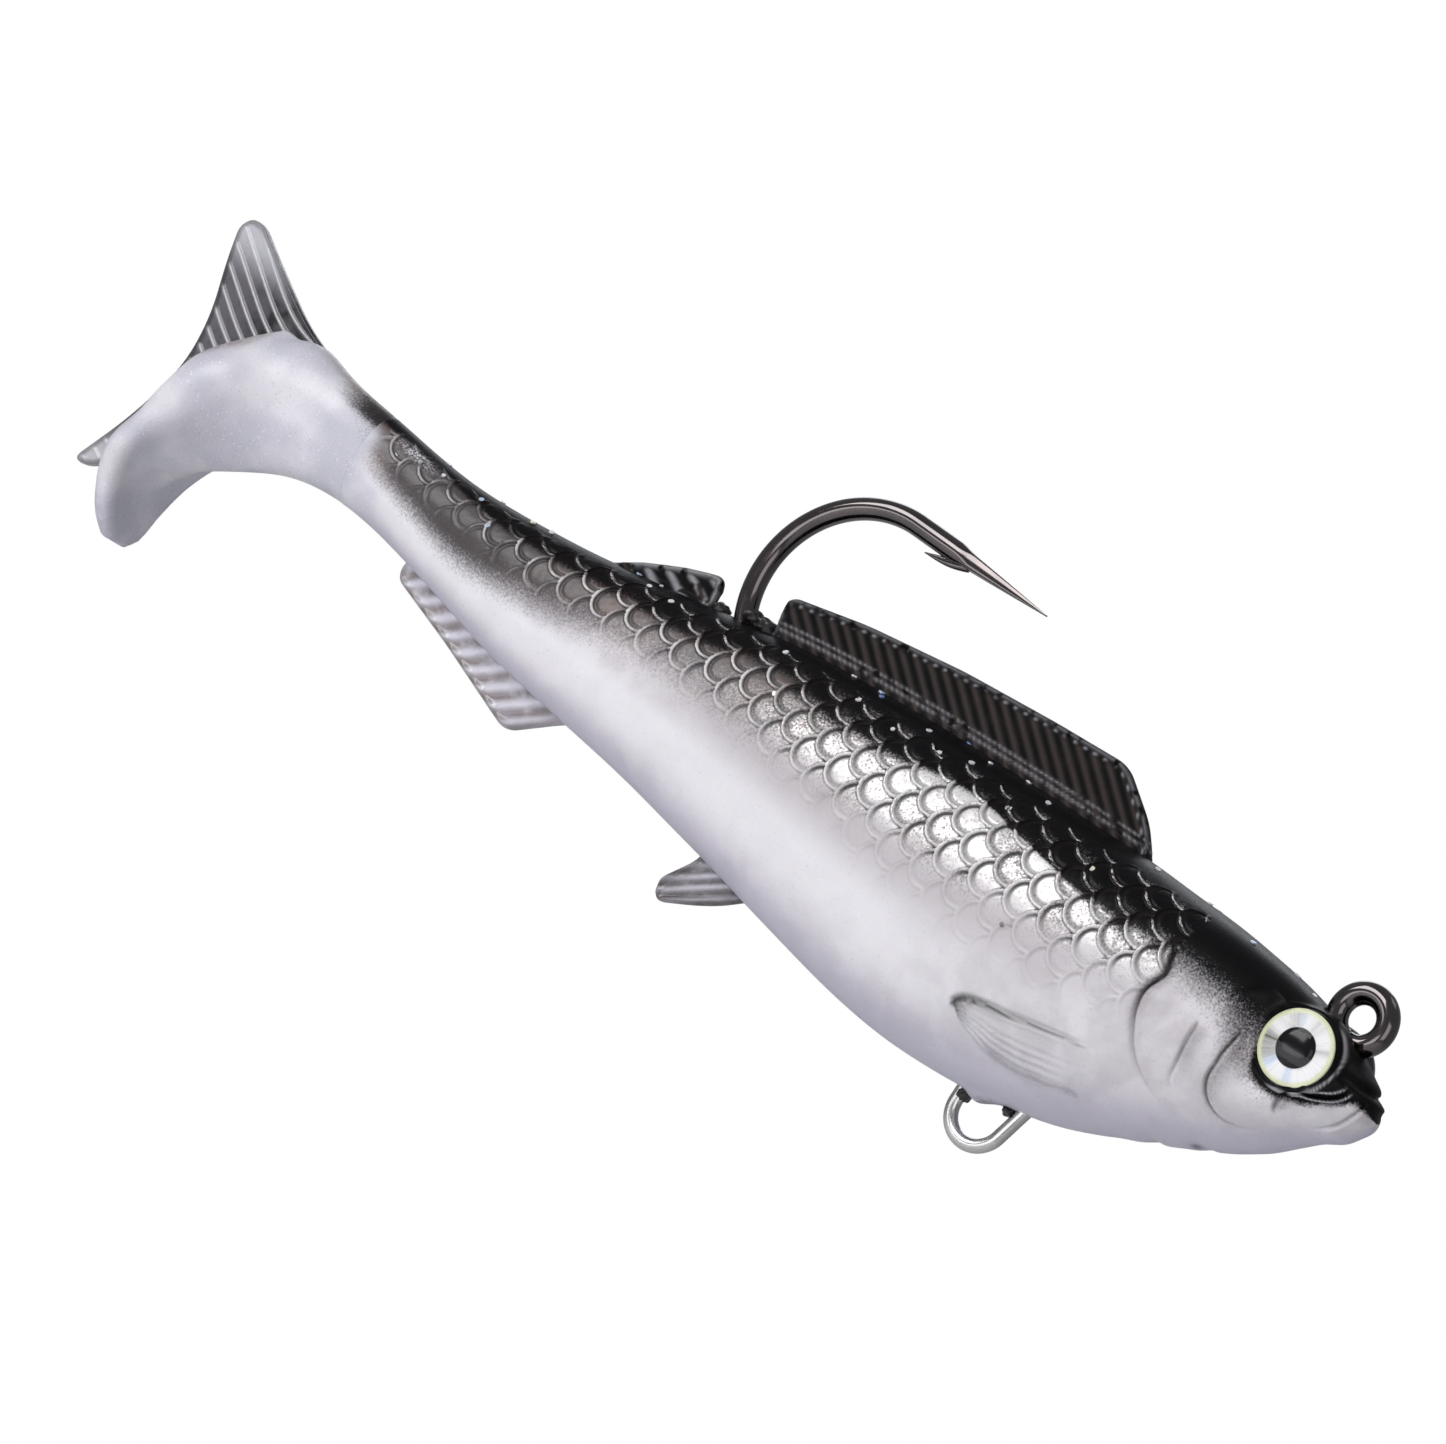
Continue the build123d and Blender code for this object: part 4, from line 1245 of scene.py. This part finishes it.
def eye_frame(side):
    """Which way the eye's forward, up and outward axes point, and where its foil lies."""
    out = Vector((math.sin(EYE_TOE_OUT), side * math.cos(EYE_TOE_OUT), 0))
    forward = Vector((out.y * side, -out.x * side, 0))
    place = Vector((EYE_X, side * EYE_FACE_Y, EYE_Z))
    return [np.array(vector) for vector in (forward, Vector((0, 0, 1)), out, place)]


def turned(name, side, profile, sides=96):
    """A closed disc-like solid turned about the eye's axis from (radius, height) pairs, axis to axis."""
    forward, up, out, place = eye_frame(side)
    turn = circle(sides)
    spoke = np.cos(turn)[:, None] * forward + np.sin(turn)[:, None] * up
    disc = tube(name, np.array([place + radius * spoke + height * out for radius, height in profile]))
    radii = np.repeat([radius for radius, _ in profile], sides)
    angle = np.tile(turn, len(profile))
    dial = (radii * np.cos(angle), radii * np.sin(angle), radii)
    store(disc, "dial", *[np.concatenate([channel, [0.0, 0.0]]) for channel in dial])
    return disc


def reflection_wedges(foil):
    """Stores where the foil is painted dark and where blue, as painted reflections, and its ring."""
    dial = np.zeros(3 * len(foil.data.vertices), np.float32)
    foil.data.attributes["dial"].data.foreach_get("vector", dial)
    across, up, radius = dial.reshape(-1, 3).T
    angle = np.degrees(np.arctan2(up, across))

    def wedges(*places):
        return sum(full * hump((angle - middle + 180) % 360 - 180, width) for full, middle, width in places)

    shade = wedges((1.1, 190, 15), (0.9, 218, 12), (0.55, 125, 20), (0.4, 75, 14), (0.4, 20, 8))
    sky = wedges((0.8, 236, 8), (0.6, 286, 9), (0.3, 110, 8))
    store(foil, "wedges", np.clip(shade, 0, 1), sky, step(EYE_R - 0.36, EYE_R - 0.28, radius))


def eye(side, hand):
    """A foil disc, a domed pupil on it and a clear dome, a shallow cap of a ball, over both."""
    foil_profile = [(0.05, -0.28), (EYE_R - 0.03, -0.28), (EYE_R, -0.2), (EYE_R, -0.02)]
    foil_profile += [(EYE_R * r, 0.01) for r in (0.985, 0.96, 0.92, 0.85, 0.75, 0.6, 0.45, 0.3, 0.15, 0.02)]
    pupil_profile = [(0.05, 0.02), (PUPIL_R, 0.02)]
    pupil_profile += [(PUPIL_R * math.cos(a), 0.02 + 0.42 * math.sin(a)) for a in np.linspace(0.1, 1.5, 12)]
    ball = (EYE_R**2 + DOME_HEIGHT**2) / (2 * DOME_HEIGHT)
    dome_profile = [(0.05, 0.03), (EYE_R - 0.02, 0.03)]
    for r in np.linspace(0.99, 0.01, 20) * EYE_R:
        dome_profile.append((r, 0.04 + math.sqrt(ball**2 - r**2) - ball + DOME_HEIGHT))
    layers = (("foil", foil_profile, foil_print), ("pupil", pupil_profile, pupil_black))
    for layer, profile, material in (*layers, ("dome", dome_profile, clear_dome)):
        piece = turned(f"{layer}_{hand}", side, profile)
        if layer == "foil":
            reflection_wedges(piece)
        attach(piece, "root")
        finished(piece, material(), f"eye_{layer}", f"eye_{layer}_{hand}")


def foil_print():
    """Silver foil whose embossing throws light in wedges, painted in as dark olive and blue reflections,
    inside a pale yellow-green ring.
    """
    s = Shader("foil_print")
    shade, sky, ring = s.masks("wedges")
    across, up, _ = s.masks("dial")
    angle = s.math("ARCTAN2", up, across)
    around = s.value("CombineXYZ", {0: s.math("COSINE", angle), 1: s.math("SINE", angle)})
    fine = s.value("TexNoise", {"Vector": around, "Scale": 9.0, "Detail": 2.0}, "Fac")
    streak = fine.ramp(0.35, 0.65, 0.55, 1.0)
    # Painted reflections: dark olive and blue wedges
    colour = s.coat(srgb(255, 255, 255), shade * streak, 96, 98, 86)
    colour = s.coat(colour, sky * streak, 180, 206, 240)
    return s.principled(
        Base_Color=s.coat(colour, ring * 0.9, 236, 240, 196),
        Metallic=ring.ramp(0.0, 1.0, 0.12, 0.0),
        Roughness=fine.ramp(0.3, 0.7, 0.25, 0.4),
    )


def pupil_black():
    s = Shader("pupil_black")
    tone = s.mix(s.noise(0.8), srgb(3, 3, 4), srgb(7, 7, 9))
    polish = s.noise(0.3).ramp(0.3, 0.7, 0.14, 0.18)
    return s.principled(Base_Color=tone, Roughness=polish, Specular_IOR_Level=0.35)


def clear_dome():
    """Clear resin: the light passes and only its gloss shows."""
    s = Shader("clear_dome")
    smudge = s.noise(0.9).ramp(0.3, 0.7, 0.03, 0.07)
    gloss = s.node("BsdfGlossy", {"Color": (1, 1, 1, 1), "Roughness": smudge})
    clear = s.node("BsdfTransparent", {"Color": (1, 1, 1, 1)})
    edge = s.value("LayerWeight", {"Blend": 0.5}, "Facing").ramp(0.6, 1.0, 0.018, 0.30)
    return s.surface(s.choice(edge, clear, gloss))


# ---------------------------------------------------------------- lumps and glitter


def lump(name, centre, size, seed, rough=0.25):
    """A small knob of flesh or sealant, never quite round."""
    turn = circle(48)
    tilt = np.linspace(-math.pi / 2 + 0.06, math.pi / 2 - 0.06, 30)[:, None]
    ball = np.stack([np.cos(tilt) * np.cos(turn), np.cos(tilt) * np.sin(turn), np.sin(tilt) + 0 * turn], -1)
    swell = 1 + rough * waves(ball, 1.1, seed) + 0.4 * rough * waves(ball, 0.5, seed + 1)
    return tube(name, np.array(centre) + ball * swell[..., None] * np.array(size))


def lumps():
    dark = black_sealant()
    knobs = (
        ("hook_exit_lump_front", (-53.1, 0.0, 0.6), (1.0, 1.2, 0.65)),
        ("hook_exit_lump_top", (-54.2, -0.2, 0.6), (0.8, 1.0, 0.65)),
        ("hook_exit_lump_rear", (-56.9, 0.0, 0.0), (0.6, 0.8, 0.5)),
        ("hanger_seal_rear", (-21.15, 0.0, -18.25), (0.5, 0.7, 0.6)),
        ("hanger_seal_front", (-17.75, 0.0, -17.75), (0.45, 0.6, 0.4)),
    )
    for seed, (name, centre, size) in enumerate(knobs, 21):
        knob = lump(name, centre, size, seed)
        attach(knob, "root")
        finished(knob, dark, "soft_body")


def black_sealant():
    s = Shader("black_sealant")
    rough = s.noise(0.3, 4.0)
    return s.principled(
        Base_Color=s.mix(rough, srgb(14, 13, 15), srgb(46, 42, 42)),
        Roughness=rough.ramp(0.3, 0.7, 0.3, 0.6),
        Coat_Weight=0.3,
        Coat_Roughness=0.2,
        Normal=s.bump(rough, 0.6, 0.08),
    )


def flakes(name, low_x, high_x, count):
    """Hexagons of glitter lying just proud of the back, on both sides."""
    x = RNG.uniform(low_x, high_x, count)
    girth = np.clip(np.abs(RNG.normal(0.10, 0.09, count)), 0.01, 0.34)
    side = RNG.choice([-1, 1], count)
    sixth = np.arange(6)
    beside = (sixth + 1) % 6
    points, faces, tints = [], [], []
    for k in range(count):
        stations = np.array([x[k] + 0.05, x[k], x[k] - 0.05])
        spot, _, _ = half_skin(stations, np.array([0.0, girth[k], girth[k] + 0.01, 1.0]))
        here = spot[1, 1]
        normal = unit(np.cross(spot[1, 2] - here, spot[2, 1] - spot[0, 1]))
        normal = normal if normal[2] > 0 or girth[k] > 0.3 else -normal
        flip = np.array([1, side[k], 1])
        here, normal = here * flip, unit(normal * flip + RNG.normal(0, 0.12, 3))
        one = unit(np.cross(normal, (0, 0.3, 1)))
        two = np.cross(normal, one)
        size = RNG.uniform(0.16, 0.26)
        start = len(points)
        for lift in (-0.02, 0.09):
            for a in circle(6):
                points.append(here + normal * lift + size * (math.cos(a) * one + math.sin(a) * two))
        faces += [(start + sixth[::-1]).tolist(), (start + 6 + sixth).tolist()]
        faces += quads(start + sixth, start + beside, start + 6 + beside, start + 6 + sixth)
        tints += [RNG.choice(5, p=[0.5, 0.2, 0.12, 0.1, 0.08])] * 12
    piece = make_mesh(name, points, faces, smooth=False)
    store(piece, "tint", np.array(tints) / 4.0)
    finished(piece, glitter(), "soft_body")
    return piece


def glitter():
    """Silver flakes, with some pale blue, blue, pale gold and red ones."""
    s = Shader("glitter")
    tint = s.masks("tint")[0]
    colour = srgb(250, 250, 252)
    shades = ((206, 224, 250), (150, 170, 240), (240, 236, 214), (240, 120, 110))
    for start, shade in zip((0.20, 0.45, 0.70, 0.95), shades):
        colour = s.coat(colour, tint.ramp(start, start + 0.04), *shade)
    rough = s.noise(0.5, 1.0).ramp(0.3, 0.7, 0.25, 0.4)
    return s.principled(Base_Color=colour, Metallic=0.25, Roughness=rough)


# ---------------------------------------------------------------- light, floor and camera

CAMERA_TARGET = Vector((-0.052, 0, -0.0064))
CAMERA_DISTANCE = 0.52
CAMERA_AZIMUTH, CAMERA_ROLL = math.radians(29), math.radians(33)


def camera():
    data = bpy.data.cameras.new("camera")
    data.lens, data.sensor_width = 189.2, 36.0
    data.clip_start, data.clip_end = 0.05, 20
    level = Vector((math.cos(CAMERA_AZIMUTH), math.sin(CAMERA_AZIMUTH), 0))
    back = Vector((math.sin(CAMERA_AZIMUTH), -math.cos(CAMERA_AZIMUTH), 0))
    up = Vector((0, 0, 1))
    right = level * math.cos(CAMERA_ROLL) + up * math.sin(CAMERA_ROLL)
    above = up * math.cos(CAMERA_ROLL) - level * math.sin(CAMERA_ROLL)
    turn = Matrix((right, above, back)).transposed().to_4x4()
    bpy.context.scene.camera = placed("camera", data, CAMERA_TARGET + back * CAMERA_DISTANCE, turn)


def placed(name, data, spot, turn):
    thing = bpy.data.objects.new(name, data)
    thing.matrix_world = Matrix.Translation(spot) @ turn
    bpy.context.collection.objects.link(thing)
    return thing


def softbox(name, direction, distance, size, watts, tint=(1, 1, 1)):
    data = bpy.data.lights.new(name, "AREA")
    data.shape, data.size, data.size_y = "RECTANGLE", size[0], size[1]
    data.energy, data.color = watts, tint
    out = Vector(direction).normalized()
    placed(name, data, CAMERA_TARGET + out * distance, out.to_track_quat("Z", "Y").to_matrix().to_4x4())


def studio():
    softbox("key", (-0.40, -0.80, 0.52), 0.75, (0.55, 0.35), 3.1)
    softbox("front", (0.75, -0.75, 0.10), 0.8, (0.45, 0.45), 0.8)
    softbox("low", (-0.25, -1.0, -0.15), 0.75, (0.7, 0.16), 0.8, (0.96, 0.95, 1))
    softbox("rim", (-0.45, 0.75, 0.50), 0.8, (0.5, 0.25), 0.7, (0.92, 0.95, 1))
    softbox("top", (0.3, 0.2, 1.0), 0.9, (0.4, 0.3), 0.3)
    world = bpy.data.worlds.new("studio")
    s = Shader("studio", world)
    lit = s.node("Background", {"Color": (0.93, 0.94, 1, 1), "Strength": 0.24})
    seen = s.node("Background", {"Color": (1, 1, 1, 1)})
    both = s.choice(s.value("LightPath", {}, "Is Camera Ray"), lit, seen)
    s.node("OutputWorld", {"Surface": both.outputs[0]})
    bpy.context.scene.world = world
    bpy.context.scene.view_settings.view_transform = "Standard"


def floor():
    """A pale round slab that the camera sees a little brighter than it is lit."""
    rim = circle(96)
    rings = [[(-52 + r * math.cos(a), r * math.sin(a), z) for a in rim] for r, z in FLOOR_PROFILE]
    ground = tube("floor", np.array(rings))
    s = Shader("pale_floor")
    tone = s.mix(s.noise(60.0), srgb(240, 240, 241), srgb(246, 246, 247))
    matt = s.node("BsdfDiffuse", {"Color": tone})
    bright = s.node("Emission", {"Color": tone, "Strength": 1.08})
    dress(ground, s.surface(s.choice(s.value("LightPath", {}, "Is Camera Ray"), matt, bright)))


FLOOR_PROFILE = [(10.0, -256.0), (990.0, -256.0), (1000.0, -253.0), (990.0, -250.0), (10.0, -250.0)]


def lead_weight():
    """The casting inside keeps its CAD shape and gets a cast finish."""
    s = Shader("cast_lead")
    cast = s.value("TexNoise", {"Scale": 900.0, "Detail": 4.0}, "Fac")
    material = s.principled(
        Base_Color=s.mix(cast, srgb(96, 98, 104), srgb(132, 134, 140)),
        Metallic=0.8,
        Roughness=cast.ramp(0.3, 0.7, 0.45, 0.65),
        Normal=s.bump(cast, 0.4, 0.1),
    )
    dress(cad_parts["jig_weight"], material)


camera()
studio()
floor()
body_skin()
tail_skin()
dorsal_front()
dorsal_rear()
anal_fin()
pelvic_fin()
caudal_fin()
hook()
hanger()
lead_weight()
for side, hand in ((1, "left"), (-1, "right")):
    eye(side, hand)
lumps()
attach(flakes("glitter_front", -52, 1.5, 46), "root")
bend_with_sweep(flakes("glitter_rear", -84, -56, 22))
